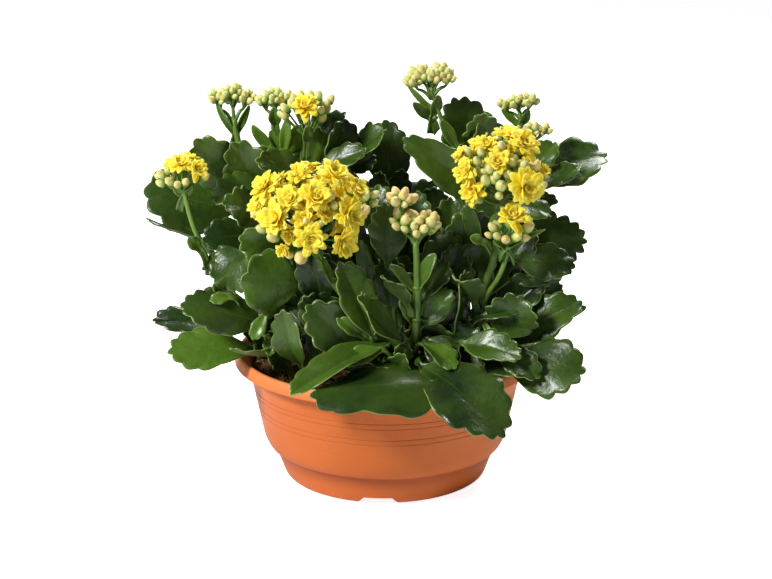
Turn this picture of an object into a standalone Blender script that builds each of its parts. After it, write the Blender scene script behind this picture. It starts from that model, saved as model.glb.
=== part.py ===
"""A kalanchoe plant growing in a round shallow plastic pot.

The pot stands on the ground plane with its axis on the origin.  +Z is up
and the fuller, flowering side of the plant faces -Y.  Lengths are metres;
the layout of the plant is written in millimetres and scaled by MM.
"""
import math

import bmesh
import bpy
from mathutils import Matrix, Vector

MM = 0.001

# Pot: a turned shell with a foot ring, a belly step and a hanging lip.
POT_RIM_RADIUS = 115.0
POT_HEIGHT = 98.4
POT_FLOOR_UNDERSIDE = 6.6
POT_FLOOR_TOP = 9.0
POT_SEGMENTS = 40
WALL_FOOT_RADIUS = 93.4
WALL_FOOT_HEIGHT = 34.0
WALL_HEAD_RADIUS = 104.8
WALL_HEAD_HEIGHT = 89.0
NOTCH_COUNT = 4
NOTCH_TURN = -4.0
NOTCH_HEIGHT = 6.0
NOTCH_WIDE = 33.0
NOTCH_NARROW = 21.0
TURNED_LINES = (54.6, 58.8, 68.0, 72.2)
LINE_DEPTH = 0.5
LINE_HALF_WIDTH = 0.8

# Soil: a plug of potting mix, slightly domed, a finger below the lip.
SOIL_EDGE_TOP = 86.0
SOIL_CROWN = 88.5
SOIL_GAP = 0.5
SOIL_SEGMENTS = 32

# Stems and leaves.
STEM_FOOT = 89.3
STEM_RADIUS = 3.5
STEM_TAPER = 0.62
STALK_RADIUS = 2.1
STALK_END_RADIUS = 1.6
LEAF_THICKNESS = 2.0
PETIOLE_WIDTH = 5.0
LEAF_ROWS = 14
PETIOLE_ROWS = 2
LOBE_DEPTH = 0.10

POT_COLOUR = (0.62, 0.22, 0.08)
SOIL_COLOUR = (0.07, 0.035, 0.018)
STEM_COLOUR = (0.20, 0.36, 0.05)
LEAF_COLOUR = (0.035, 0.13, 0.02)
BUD_COLOUR = (0.62, 0.66, 0.28)
PETAL_COLOUR = (0.90, 0.66, 0.04)


def clear_scene():
    for old in list(bpy.data.objects):
        bpy.data.objects.remove(old, do_unlink=True)


def make_material(name, colour, roughness):
    material = bpy.data.materials.new(name)
    material.use_nodes = True
    shader = material.node_tree.nodes["Principled BSDF"]
    shader.inputs["Base Color"].default_value = (*colour, 1.0)
    shader.inputs["Roughness"].default_value = roughness
    shader.inputs["Metallic"].default_value = 0.0
    return material


def add_object(name, mesh, colour, roughness, smooth=True):
    part = bpy.data.objects.new(name, mesh)
    bpy.context.scene.collection.objects.link(part)
    mesh.materials.append(make_material(name + "_material", colour, roughness))
    for face in mesh.polygons:
        face.use_smooth = smooth
    return part


def turned_mesh(name, profile, segments):
    """Spin a closed half section, given in millimetres, about the Z axis."""
    work = bmesh.new()
    ring = [work.verts.new((r * MM, 0.0, z * MM)) for r, z in profile]
    edges = [work.edges.new((ring[i], ring[i + 1])) for i in range(len(ring) - 1)]
    bmesh.ops.spin(
        work,
        geom=ring + edges,
        cent=(0.0, 0.0, 0.0),
        axis=(0.0, 0.0, 1.0),
        angle=math.tau,
        steps=segments,
        use_merge=True,
    )
    bmesh.ops.remove_doubles(work, verts=work.verts, dist=0.00001)
    bmesh.ops.recalc_face_normals(work, faces=work.faces)
    mesh = bpy.data.meshes.new(name)
    work.to_mesh(mesh)
    work.free()
    return mesh


def pot_wall_radius(height):
    """Outer radius of the slanting wall between the belly and the lip."""
    share = (height - WALL_FOOT_HEIGHT) / (WALL_HEAD_HEIGHT - WALL_FOOT_HEIGHT)
    return WALL_FOOT_RADIUS + share * (WALL_HEAD_RADIUS - WALL_FOOT_RADIUS)


def build_pot():
    outer = [
        (0.0, POT_FLOOR_UNDERSIDE),
        (63.5, POT_FLOOR_UNDERSIDE),
        (65.5, 0.0),
        (72.5, 0.0),
        (76.8, 1.8),
        (78.6, 5.5),
        (81.2, 13.0),
        (84.6, 21.0),
        (86.6, 24.2),
        (88.9, 24.8),
        (91.6, 29.0),
        (WALL_FOOT_RADIUS, WALL_FOOT_HEIGHT),
    ]
    for height in TURNED_LINES:
        foot = height - LINE_HALF_WIDTH
        head = height + LINE_HALF_WIDTH
        outer.append((pot_wall_radius(foot), foot))
        outer.append((pot_wall_radius(height) - LINE_DEPTH, height))
        outer.append((pot_wall_radius(head), head))
    lip = [
        (104.6, 88.0),
        (110.6, 95.0),
        (113.0, 89.8),
        (POT_RIM_RADIUS, 89.8),
        (112.6, 97.2),
        (111.6, POT_HEIGHT),
        (109.8, POT_HEIGHT),
    ]
    inner = [
        (102.6, 89.6),
        (91.4, 36.0),
        (86.6, 26.6),
        (82.6, 22.0),
        (76.4, POT_FLOOR_TOP),
        (0.0, POT_FLOOR_TOP),
    ]
    mesh = turned_mesh("pot", outer + lip + inner, POT_SEGMENTS)
    pot = add_object("pot", mesh, POT_COLOUR, 0.42)
    for index in range(NOTCH_COUNT):
        cutter = notch_cutter(index)
        cut = pot.modifiers.new("foot_notch_%d" % (index + 1), "BOOLEAN")
        cut.operation = "DIFFERENCE"
        cut.solver = "EXACT"
        cut.object = cutter
    return pot


def notch_cutter(index):
    """A drain notch through the foot ring, narrower at its top."""
    work = bmesh.new()
    bmesh.ops.create_cube(work, size=1.0)
    for corner in work.verts:
        low = corner.co.z < 0.0
        width = NOTCH_WIDE + 5.0 if low else NOTCH_NARROW
        x = math.copysign(width / 2.0, corner.co.x)
        y = -84.0 if corner.co.y < 0.0 else -58.0
        z = -3.0 if low else NOTCH_HEIGHT
        corner.co = Vector((x, y, z)) * MM
    bmesh.ops.rotate(
        work,
        verts=work.verts,
        cent=(0.0, 0.0, 0.0),
        matrix=rotation_about_z(NOTCH_TURN + index * 360.0 / NOTCH_COUNT),
    )
    mesh = bpy.data.meshes.new("notch_cutter")
    work.to_mesh(mesh)
    work.free()
    cutter = bpy.data.objects.new("notch_cutter_%d" % (index + 1), mesh)
    bpy.context.scene.collection.objects.link(cutter)
    cutter.hide_render = True
    cutter.display_type = "WIRE"
    return cutter


def rotation_about_z(degrees):
    return Matrix.Rotation(math.radians(degrees), 3, "Z")


def build_soil():
    profile = [
        (0.0, POT_FLOOR_TOP + SOIL_GAP),
        (76.4 - 1.0, POT_FLOOR_TOP + SOIL_GAP),
        (82.6 - 1.0, 22.4),
        (86.6 - 1.0, 27.2),
        (91.4 - 2.0 * SOIL_GAP, 37.0),
        (100.8, SOIL_EDGE_TOP),
        (70.0, SOIL_CROWN - 0.6),
        (0.0, SOIL_CROWN),
    ]
    return add_object("soil", turned_mesh("soil", profile, SOIL_SEGMENTS), SOIL_COLOUR, 0.95)


def tube(name, path, radius_start, radius_end, sides=2):
    """A round tapering stem along a path of points in millimetres."""
    curve = bpy.data.curves.new(name, "CURVE")
    curve.dimensions = "3D"
    curve.bevel_depth = MM
    curve.bevel_resolution = sides
    curve.use_fill_caps = True
    curve.resolution_u = 2
    spline = curve.splines.new("NURBS")
    spline.points.add(len(path) - 1)
    for i, place in enumerate(path):
        spline.points[i].co = (place[0] * MM, place[1] * MM, place[2] * MM, 1.0)
        share = i / (len(path) - 1)
        spline.points[i].radius = radius_start + (radius_end - radius_start) * share
    spline.use_endpoint_u = True
    spline.order_u = 3
    carrier = bpy.data.objects.new(name, curve)
    bpy.context.scene.collection.objects.link(carrier)
    bpy.context.view_layer.update()
    graph = bpy.context.evaluated_depsgraph_get()
    mesh = bpy.data.meshes.new_from_object(carrier.evaluated_get(graph))
    bpy.data.objects.remove(carrier, do_unlink=True)
    work = bmesh.new()
    work.from_mesh(mesh)
    bmesh.ops.remove_doubles(work, verts=work.verts, dist=0.00002)
    bmesh.ops.recalc_face_normals(work, faces=work.faces)
    work.to_mesh(mesh)
    work.free()
    return mesh


def shoot(name, trunk, stalks, radius=STEM_RADIUS):
    """A main stem with the flower stalks that fork from it, in one body."""
    main = add_object(name, tube(name, trunk, radius, radius * STEM_TAPER), STEM_COLOUR, 0.5)
    for number, path in enumerate(stalks, 1):
        label = "%s_stalk_%d" % (name, number)
        branch = bpy.data.objects.new(label, tube(label, path, STALK_RADIUS, STALK_END_RADIUS))
        bpy.context.scene.collection.objects.link(branch)
        branch.hide_render = True
        branch.display_type = "WIRE"
        join = main.modifiers.new(label, "BOOLEAN")
        join.operation = "UNION"
        join.solver = "EXACT"
        join.object = branch
    return main


def blade_width(share):
    """Half width of a leaf along its blade, 1 at the widest place."""
    swell = math.sin(math.pi * share ** 1.15) ** 0.75
    lobes = 1.0 + LOBE_DEPTH * math.cos(share * math.tau * 3.5) * min(1.0, share * 2.0)
    return max(0.14, 0.14 + 0.86 * swell) * lobes


def leaf(name, joint, base, tip, width, face, arch=0.05, cup=0.0):
    """One thick leaf: a narrow stalk from its joint, then a lobed blade.

    face points out of the upper side, arch bows the blade lengthways and
    cup, in degrees, lifts the two halves into a trough.
    """
    joint = Vector(joint)
    base = Vector(base)
    tip = Vector(tip)
    axis = (tip - base).normalized()
    length = (tip - base).length
    up = Vector(face)
    up = (up - axis * up.dot(axis)).normalized()
    side = axis.cross(up)
    lift = math.radians(cup)
    rows = []
    for i in range(PETIOLE_ROWS):
        share = i / PETIOLE_ROWS
        rows.append((joint.lerp(base, share), PETIOLE_WIDTH / 2.0, 0.0))
    for i in range(LEAF_ROWS):
        share = i / (LEAF_ROWS - 1)
        centre = base + axis * length * share + up * length * 4.0 * arch * share * (1.0 - share)
        half = width / 2.0 * blade_width(min(share, 0.965))
        rows.append((centre, max(half, PETIOLE_WIDTH / 2.0), lift))
    work = bmesh.new()
    bmesh.ops.create_grid(work, x_segments=2, y_segments=len(rows) - 1, size=1.0)
    for point in work.verts:
        row = round((point.co.y + 1.0) / 2.0 * (len(rows) - 1))
        across = round(point.co.x)
        centre, half, fold = rows[row]
        place = centre + side * across * half * math.cos(fold)
        place = place + up * abs(across) * half * math.sin(fold)
        point.co = place * MM
    mesh = bpy.data.meshes.new(name)
    work.to_mesh(mesh)
    work.free()
    blade = add_object(name, mesh, LEAF_COLOUR, 0.35)
    skin = blade.modifiers.new("thickness", "SOLIDIFY")
    skin.thickness = LEAF_THICKNESS * MM
    skin.offset = 0.0
    return blade


def flower_head(name, centre, lumps, colour, roughness=0.6):
    """A cluster of rounded lumps grown together, placed about a centre."""
    centre = Vector(centre)
    main = None
    for number, (dx, dy, dz, radius) in enumerate(lumps, 1):
        work = bmesh.new()
        bmesh.ops.create_icosphere(work, subdivisions=2, radius=radius * MM)
        bmesh.ops.translate(work, verts=work.verts, vec=(centre + Vector((dx, dy, dz))) * MM)
        label = name if main is None else "%s_lump_%d" % (name, number)
        mesh = bpy.data.meshes.new(label)
        work.to_mesh(mesh)
        work.free()
        if main is None:
            main = add_object(name, mesh, colour, roughness)
            continue
        lump = bpy.data.objects.new(label, mesh)
        bpy.context.scene.collection.objects.link(lump)
        lump.hide_render = True
        lump.display_type = "WIRE"
        join = main.modifiers.new(label, "BOOLEAN")
        join.operation = "UNION"
        join.solver = "EXACT"
        join.object = lump
    return main


clear_scene()
build_pot()
build_soil()

# Stems, each rising from the soil; flower stalks fork from the upper part.
shoot("stem_front_left", [(-52, -34, STEM_FOOT), (-54, -34, 130), (-53, -36, 172)], [])
shoot("stem_centre_left",
      [(-4, -50, STEM_FOOT), (-5, -56, 116), (-26, -56, 150), (-45, -58, 176), (-53, -60, 196)], [])
shoot("stem_centre_right",
      [(18, -62, STEM_FOOT), (22, -60, 120), (24, -60, 160), (22, -60, 192)], [])
shoot("stem_left",
      [(-78, -22, STEM_FOOT), (-84, -20, 130), (-98, -16, 162), (-130, -20, 176), (-144, -22, 200),
       (-149, -20, 226)], [], 3.0)
shoot("stem_top_left",
      [(-66, 16, STEM_FOOT), (-82, 16, 150), (-100, 20, 206), (-111, 36, 244), (-115, 40, 266)], [])
shoot("stem_top_centre",
      [(-40, 30, STEM_FOOT), (-52, 30, 150), (-74, 32, 212), (-84, 36, 244), (-85, 36, 266)],
      [[(-60, 30, 180), (-60, 26, 206), (-61, 22, 230), (-59, 20, 254)]])
shoot("stem_right",
      [(62, -34, STEM_FOOT), (68, -38, 120), (72, -39, 155), (84, -37, 190), (85, -36, 222)],
      [[(70, -38, 136), (74, -44, 152), (86, -50, 172), (93, -52, 186)]])
shoot("stem_top_right",
      [(64, 32, STEM_FOOT), (74, 28, 140), (86, 30, 200), (94, 38, 236)],
      [[(80, 29, 182), (70, 34, 218), (48, 40, 248), (37, 42, 268), (34, 42, 292)],
       [(88, 33, 214), (98, 46, 236), (106, 54, 254), (106, 54, 268)]])
shoot("stem_back", [(2, 52, STEM_FOOT), (4, 58, 140), (8, 62, 196)], [])

# Leaves low over the front of the pot.
leaf("leaf_front_low", (18, -69, 101), (24, -87, 102), (-52, -126, 104), 37, (0, -0.6, 1), 0.08)
leaf("leaf_front_right", (26, -66, 112), (27, -76, 112), (85, -125, 74), 48, (0.3, -1, 0.9), 0.12, 8)
leaf("leaf_front_fold", (-1, -61, 115), (1, -69, 123), (-64, -124, 110), 28, (-0.2, -0.5, 1), 0.05, 30)
leaf("leaf_centre_fold", (17, -66, 122), (12, -72, 126), (-20, -92, 166), 30, (0.5, -0.6, 1), -0.05, 20)
leaf("leaf_centre_long", (-10, -62, 124), (-9, -72, 131), (-33, -72, 187), 32, (0.6, -1, 0.2), 0.03, 12)
leaf("leaf_centre_shade", (-13, -59, 112), (-19, -65, 116), (-57, -76, 154), 40, (-0.1, -1, 0.6), 0.06, 8)
leaf("leaf_front_tall", (-55, -42, 98), (-62, -58, 104), (-74, -76, 151), 28, (-0.5, -1, 0.1), 0.08, 15)

# Leaves down the left side.
leaf("leaf_left_rim", (-59, -35, 106), (-76, -44, 106), (-113, -72, 121), 24, (-0.1, 0.2, 1), -0.03, 15)
leaf("leaf_left_low", (-81, -28, 108), (-94, -43, 108), (-157, -60, 115), 36, (-0.1, -1, 1), 0.06)
leaf("leaf_left_dark", (-86, -26, 132), (-92, -47, 133), (-149, -65, 152), 36, (0, -1, 0.7), 0.06)
leaf("leaf_left_broad", (-56, -42, 160), (-62, -50, 163), (-105, -68, 171), 48, (0, -1, 0.25), 0.08, -8)
leaf("leaf_left_shadow", (-97, -24, 166), (-101, -34, 179), (-126, -37, 160), 40, (-0.2, -1, 0.3), 0.06)
leaf("leaf_left_mid", (-97, 11, 200), (-90, -18, 208), (-119, -38, 221), 34, (0, -1, 0.7), 0.06)
leaf("leaf_far_left", (-103, 23, 198), (-116, 26, 201), (-176, 13, 217), 54, (0, -1, 0.5), 0.04)
leaf("leaf_left_point", (-99, -10, 166), (-120, -4, 175), (-175, -14, 205), 20, (0.2, 0.1, 1), 0.0)

# Leaves of the two taller stems behind them.
leaf("leaf_top_left", (-106, 14, 214), (-113, 17, 219), (-141, 6, 258), 38, (-0.3, -1, 0.5), 0.05)
leaf("leaf_top_left_inner", (-92, 14, 200), (-90, 12, 216), (-118, 0, 256), 36, (-0.2, -1, 0.4), 0.06, 8)
leaf("leaf_top_centre", (-60, 36, 196), (-46, 36, 224), (2, 28, 262), 36, (-0.4, -0.35, 1), -0.03, 15)
leaf("leaf_back_centre", (8, 68, 190), (4, 74, 206), (0, 84, 257), 38, (0, -1, 0.2), 0.06)

# Leaves of the right hand stems.
leaf("leaf_top_right", (77, 24, 196), (76, 18, 211), (14, 8, 258), 38, (-0.35, -1, 0.5), 0.05, 10)
leaf("leaf_top_right_tip", (86, 40, 222), (74, 58, 232), (52, 60, 279), 42, (0, -1, 0.2), 0.04)
leaf("leaf_far_right", (92, 28, 206), (112, 32, 213), (170, 44, 240), 44, (-0.2, -0.8, 0.8), 0.06, 8)
leaf("leaf_right_upper", (87, 22, 180), (98, 15, 179), (152, 7, 181), 46, (0, -0.9, 0.8), 0.06, 12)
leaf("leaf_right_mid", (88, -36, 180), (97, -24, 175), (141, -30, 170), 32, (0, -0.3, 1), 0.05)
leaf("leaf_right_gloss", (75, -43, 120), (86, -50, 122), (100, -54, 156), 42, (0.1, -1, 0.6), 0.05, 10)
leaf("leaf_right_long", (74, -36, 112), (90, -38, 112), (145, -42, 147), 38, (0, -0.9, 0.9), 0.05, 8)
leaf("leaf_right_front", (63, -43, 110), (58, -62, 121), (98, -88, 119), 30, (0.3, -0.9, 0.8), 0.05, 20)
leaf("leaf_right_low", (69, -44, 101), (88, -66, 106), (144, -82, 106), 46, (0.2, -1, 0.8), 0.06)

# Upright leaves in the middle of the plant.
leaf("leaf_mid_upright", (18, -53, 172), (2, -46, 178), (-1, -38, 222), 32, (0.3, -1, 0.25), 0.05, 15)
leaf("leaf_mid_dark", (61, -43, 114), (51, -51, 124), (58, -50, 174), 32, (0.9, -0.4, 0.3), 0.05, 8)

leaf("leaf_mid_fill", (18, -55, 122), (10, -38, 126), (6, -20, 178), 48, (0, -1, 0.3), 0.04)
leaf("leaf_mid_right", (29, -55, 138), (38, -38, 142), (48, -22, 196), 42, (0, -1, 0.3), 0.04)

# Leaves that close the back of the plant.
leaf("leaf_back_low_left", (-46, 38, 112), (-54, 52, 112), (-96, 104, 112), 46, (-0.4, 0.6, 1), 0.08)
leaf("leaf_back_low", (0, 62, 112), (-4, 74, 114), (-16, 135, 104), 46, (0, 0.6, 1), 0.10)
leaf("leaf_back_low_right", (68, 42, 112), (74, 54, 114), (100, 108, 116), 46, (0.4, 0.6, 1), 0.08)
leaf("leaf_back_left", (-72, 22, 150), (-82, 34, 156), (-120, 72, 186), 44, (-0.5, 0.8, 0.7), 0.06)
leaf("leaf_back_high", (4, 66, 160), (2, 78, 166), (-22, 118, 196), 42, (0, 1, 0.7), 0.06)
leaf("leaf_back_right", (84, 36, 170), (92, 48, 176), (126, 84, 206), 44, (0.5, 0.8, 0.7), 0.06)

# Flower heads.  Open heads are yellow; the rest are still in tight bud.
flower_head("head_big_left", (-55, -64, 222),
            [(0, 0, 2, 22), (-23, 0, 0, 18), (24, 2, 2, 17), (14, 4, 18, 15), (20, 2, -18, 13)],
            PETAL_COLOUR)
flower_head("head_big_right", (84, -38, 248),
            [(0, 0, 0, 18), (-18, 2, 2, 15), (18, -4, -10, 16), (8, 4, 12, 13)],
            PETAL_COLOUR)
flower_head("head_left", (-149, -20, 241), [(0, 0, 0, 10), (8, 0, 4, 11), (-10, 0, -2, 8)], PETAL_COLOUR)
flower_head("head_small_right", (92, -55, 202), [(0, 0, 2, 10), (8, 0, -2, 8), (-9, 0, -3, 7)], PETAL_COLOUR)
flower_head("head_top_open", (-59, 19, 270),
            [(0, 0, 2, 12), (14, 0, 5, 9), (-14, 0, 2, 8)], PETAL_COLOUR)
flower_head("buds_top_left", (-117, 42, 279),
            [(0, 0, 2, 10), (12, 0, 1, 8), (-12, 0, -1, 8)], BUD_COLOUR)
flower_head("buds_top_centre", (-86, 37, 278), [(0, 0, 0, 9), (7, 0, 4, 7), (-6, 0, 3, 6)], BUD_COLOUR)
flower_head("buds_centre", (21, -61, 209),
            [(0, 0, 0, 14), (-8, 0, 17, 10)], BUD_COLOUR)
flower_head("buds_top", (34, 42, 303), [(0, 0, 2, 12), (12, 0, 2, 8), (-12, 0, -2, 9)], BUD_COLOUR)
flower_head("buds_top_right", (106, 55, 279), [(0, 0, 0, 8), (8, 0, 2, 6), (-8, 0, -2, 6)], BUD_COLOUR)
flower_head("buds_right", (94, 36, 250), [(0, 0, 0, 8), (-9, 0, 1, 7), (12, -2, 2, 7), (22, -2, 3, 6)], BUD_COLOUR)
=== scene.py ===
"""A yellow kalanchoe in a round shallow pot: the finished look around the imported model.

Places and sizes are written in millimetres and scaled by MM; +Z is up and
the fuller, flowering side of the plant faces -Y.
"""
import math
import random

import bmesh
import bpy
from mathutils import Matrix, Vector, noise


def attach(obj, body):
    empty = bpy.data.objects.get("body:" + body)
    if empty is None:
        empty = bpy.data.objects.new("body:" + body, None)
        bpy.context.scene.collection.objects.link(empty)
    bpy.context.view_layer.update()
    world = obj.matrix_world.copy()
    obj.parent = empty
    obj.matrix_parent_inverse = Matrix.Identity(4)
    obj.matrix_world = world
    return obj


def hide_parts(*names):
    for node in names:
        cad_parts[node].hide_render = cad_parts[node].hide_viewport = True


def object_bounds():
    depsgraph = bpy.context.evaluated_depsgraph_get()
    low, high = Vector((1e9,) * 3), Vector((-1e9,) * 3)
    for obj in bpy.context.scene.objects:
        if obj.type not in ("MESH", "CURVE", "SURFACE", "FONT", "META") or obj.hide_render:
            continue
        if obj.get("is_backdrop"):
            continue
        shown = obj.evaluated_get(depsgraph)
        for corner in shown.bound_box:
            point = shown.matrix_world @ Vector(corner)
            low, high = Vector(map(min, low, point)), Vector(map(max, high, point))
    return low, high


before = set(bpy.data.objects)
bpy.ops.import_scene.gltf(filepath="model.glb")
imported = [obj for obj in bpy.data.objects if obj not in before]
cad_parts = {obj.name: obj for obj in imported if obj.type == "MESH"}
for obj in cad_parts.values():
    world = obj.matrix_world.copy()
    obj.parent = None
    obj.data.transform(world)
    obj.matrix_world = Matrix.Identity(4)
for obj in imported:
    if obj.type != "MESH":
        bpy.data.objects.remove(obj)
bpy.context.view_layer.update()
MM = 0.001
UP = Vector((0.0, 0.0, 1.0))


# ------------------------------------------------------------------ the pot
# A shallow bowl moulded in terracotta coloured plastic: a foot ring with
# drain notches, a stepped belly, a slanting wall with two pairs of fine
# turned lines, and a hanging lip.  Spun from its half section, then notched.
POT_TURNS = 144
CORNER_POINTS = 5
WELD = 0.00001
WALL_FOOT = (93.4, 34.0)
WALL_HEAD = (104.8, 89.0)
TURNED_LINES = (54.6, 58.8, 68.0, 72.2)
LINE_DEPTH = 0.35
LINE_HALF = 0.55
NOTCH_COUNT = 4
NOTCH_TURN = -4.0
NOTCH_FOOT_HALF = 19.0
NOTCH_TOP_HALF = 10.5
NOTCH_TOP = 6.0
NOTCH_BELOW = -3.0
NOTCH_OUTER = -84.0
NOTCH_INNER = -58.0
SHARP_EDGE = 38.0

BODY_DEEP = (0.60, 0.138, 0.026)
BODY_LIGHT = (0.70, 0.178, 0.036)
LIP_LIGHT = (0.86, 0.30, 0.105)
SPECK_BROWN = (0.48, 0.11, 0.03)
STREAK_PALE = (0.88, 0.36, 0.16)
# Painted shade in the turned grooves.
GROOVE_PAINTED_SHADE = (0.30, 0.055, 0.014)
# Painted shade under the belly step.
STEP_PAINTED_SHADE = (0.28, 0.045, 0.014)


def deselect_all():
    bpy.ops.object.select_all(action="DESELECT")


def pick(thing):
    """Make one object the only selected and the active one."""
    deselect_all()
    thing.select_set(True)
    bpy.context.view_layer.objects.active = thing


def new_object(name, data, *finishes):
    """Put a mesh, curve, lamp or camera into the scene as an object."""
    thing = bpy.data.objects.new(name, data)
    bpy.context.scene.collection.objects.link(thing)
    for finish in finishes:
        data.materials.append(finish.material)
    return thing


def weld_and_smooth():
    """Close the shape that is in edit mode, turn its faces outwards and smooth it."""
    bpy.ops.mesh.select_all(action="SELECT")
    bpy.ops.mesh.remove_doubles(threshold=WELD)
    bpy.ops.mesh.normals_make_consistent(inside=False)
    bpy.ops.object.mode_set(mode="OBJECT")
    bpy.ops.object.shade_smooth()


def rounded(corners):
    """An outline whose corners (across, up, radius) are turned into small arcs."""
    points = []
    for number, (across, up, radius) in enumerate(corners):
        here = Vector((across, up))
        if radius <= 0.0 or number in (0, len(corners) - 1):
            points.append(here)
            continue
        before = Vector(corners[number - 1][:2]) - here
        after = Vector(corners[number + 1][:2]) - here
        reach = min(radius, before.length * 0.45, after.length * 0.45)
        start = here + before.normalized() * reach
        end = here + after.normalized() * reach
        for step in range(CORNER_POINTS):
            share = step / (CORNER_POINTS - 1)
            points.append(start.lerp(here, share).lerp(here.lerp(end, share), share))
    return points


def spun(name, outline, turns, *finishes):
    """Spin an outline, in millimetres, about the upright axis into a closed body."""
    mesh = bpy.data.meshes.new(name)
    places = [(point[0] * MM, 0.0, point[1] * MM) for point in outline]
    mesh.from_pydata(places, [(i, i + 1) for i in range(len(places) - 1)], [])
    thing = new_object(name, mesh, *finishes)
    pick(thing)
    bpy.ops.object.mode_set(mode="EDIT")
    bpy.ops.mesh.select_all(action="SELECT")
    bpy.ops.mesh.spin(steps=turns, dupli=False, angle=math.tau, center=(0, 0, 0), axis=(0, 0, 1))
    weld_and_smooth()
    return thing


class Reading:
    """One value in a finish's nodes, so that shader sums read as plain sums."""

    def __init__(self, finish, socket):
        self.finish = finish
        self.socket = socket

    def sum(self, operation, first, second):
        return self.finish.node("ShaderNodeMath", {"operation": operation}, {0: first, 1: second})

    def __add__(self, other):
        return self.sum("ADD", self, other)

    def __radd__(self, other):
        return self.sum("ADD", other, self)

    def __sub__(self, other):
        return self.sum("SUBTRACT", self, other)

    def __rsub__(self, other):
        return self.sum("SUBTRACT", other, self)

    def __mul__(self, other):
        return self.sum("MULTIPLY", self, other)

    def __rmul__(self, other):
        return self.sum("MULTIPLY", other, self)

    def __abs__(self):
        return self.sum("ABSOLUTE", self, 0.0)

    def rising(self, low, high):
        """0 below low, 1 above high, and a soft step between them."""
        return self.finish.node(
            "ShaderNodeMapRange",
            {"interpolation_type": "SMOOTHSTEP"},
            {"Value": self, "From Min": low, "From Max": high},
        )


class Finish:
    """A material in the making: its nodes and its one shader."""

    def __init__(self, name, steady):
        self.material = bpy.data.materials.new(name)
        self.material.use_nodes = True
        self.tree = self.material.node_tree
        self.shader = self.tree.nodes["Principled BSDF"]
        for socket, value in steady.items():
            self.shader.inputs[socket].default_value = value

    def node(self, kind, settings=None, inputs=None, output=0):
        """Add a node of any kind and return the reading of one of its outputs."""
        made = self.tree.nodes.new(kind)
        for key, value in (settings or {}).items():
            setattr(made, key, value)
        for key, value in (inputs or {}).items():
            self.feed(made.inputs[key], value)
        return Reading(self, made.outputs[output])

    def feed(self, socket, value):
        if isinstance(value, Reading):
            self.tree.links.new(value.socket, socket)
        elif socket.type == "RGBA":
            socket.default_value = (*value, 1.0)
        else:
            socket.default_value = value

    def place(self):
        return self.node("ShaderNodeTexCoord", output="Object")

    def height(self):
        return self.node("ShaderNodeSeparateXYZ", inputs={0: self.place()}, output="Z")

    def stretched(self, across, deep, tall):
        return self.node(
            "ShaderNodeMapping",
            inputs={"Vector": self.place(), "Scale": (across, deep, tall)},
        )

    def cloud(self, scale, detail=3.0, roughness=0.55, where=None):
        """Soft random mottling, from 0 to 1, at scale features a metre."""
        return self.node(
            "ShaderNodeTexNoise",
            inputs={
                "Vector": where or self.place(),
                "Scale": scale,
                "Detail": detail,
                "Roughness": roughness,
            },
        )

    def kept(self, name):
        """A number that is stored on the mesh's points under this name."""
        return self.node("ShaderNodeAttribute", {"attribute_name": name}, output="Fac")

    def blend(self, share, first, second):
        """The first colour where share is 0, and the second where it is 1."""
        return self.node(
            "ShaderNodeMix", {"data_type": "RGBA"}, {0: share, 6: first, 7: second}, output=2
        )

    def paint(self, colour, roughness, relief):
        """Colour, roughness and relief, the last as a height in metres."""
        self.feed(self.shader.inputs["Base Color"], colour)
        self.feed(self.shader.inputs["Roughness"], roughness)
        bump = self.node("ShaderNodeBump", inputs={"Strength": 1.0, "Distance": 1.0, "Height": relief})
        self.feed(self.shader.inputs["Normal"], bump)


# Heights and distances inside a finish are in metres.
terracotta = Finish("terracotta_plastic", {"IOR": 1.47, "Specular IOR Level": 0.32})
broad = terracotta.cloud(9.0, 3.0)
speck = terracotta.cloud(420.0, 4.0, 0.6)
streak = terracotta.cloud(1.0, 3.0, 0.6, terracotta.stretched(16.0, 16.0, 900.0))
pot_height = terracotta.height()
# Painted shade: the fine turned lines are darkened in the colour, as shade lying in the grooves.
painted_groove_shade = 0.0
for line in TURNED_LINES:
    painted_groove_shade = (1.0 - abs(pot_height - line * MM).rising(0.0001, 0.0006)) + painted_groove_shade
body_colour = terracotta.blend(broad.rising(0.3, 0.7), BODY_DEEP, BODY_LIGHT)
body_colour = terracotta.blend(pot_height.rising(0.087, 0.098) * 0.5, body_colour, LIP_LIGHT)
body_colour = terracotta.blend(speck.rising(0.62, 0.78) * 0.16, body_colour, SPECK_BROWN)
body_colour = terracotta.blend(streak.rising(0.55, 0.8) * 0.10, body_colour, STREAK_PALE)
body_colour = terracotta.blend(painted_groove_shade * 0.34, body_colour, GROOVE_PAINTED_SHADE)
# Painted shade: a dark band under the belly step, where shade falls.
painted_step_shade = pot_height.rising(0.010, 0.0225) * (1.0 - pot_height.rising(0.0235, 0.0270))
body_colour = terracotta.blend(painted_step_shade * 0.5, body_colour, STEP_PAINTED_SHADE)
terracotta.paint(
    body_colour,
    0.40 + broad * 0.10 + speck * 0.08,
    speck * 0.00005 + streak * 0.00004,
)


def wall_radius(height):
    """The radius of the slanting wall's outer face at a height."""
    share = (height - WALL_FOOT[1]) / (WALL_HEAD[1] - WALL_FOOT[1])
    return WALL_FOOT[0] + share * (WALL_HEAD[0] - WALL_FOOT[0])


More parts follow.
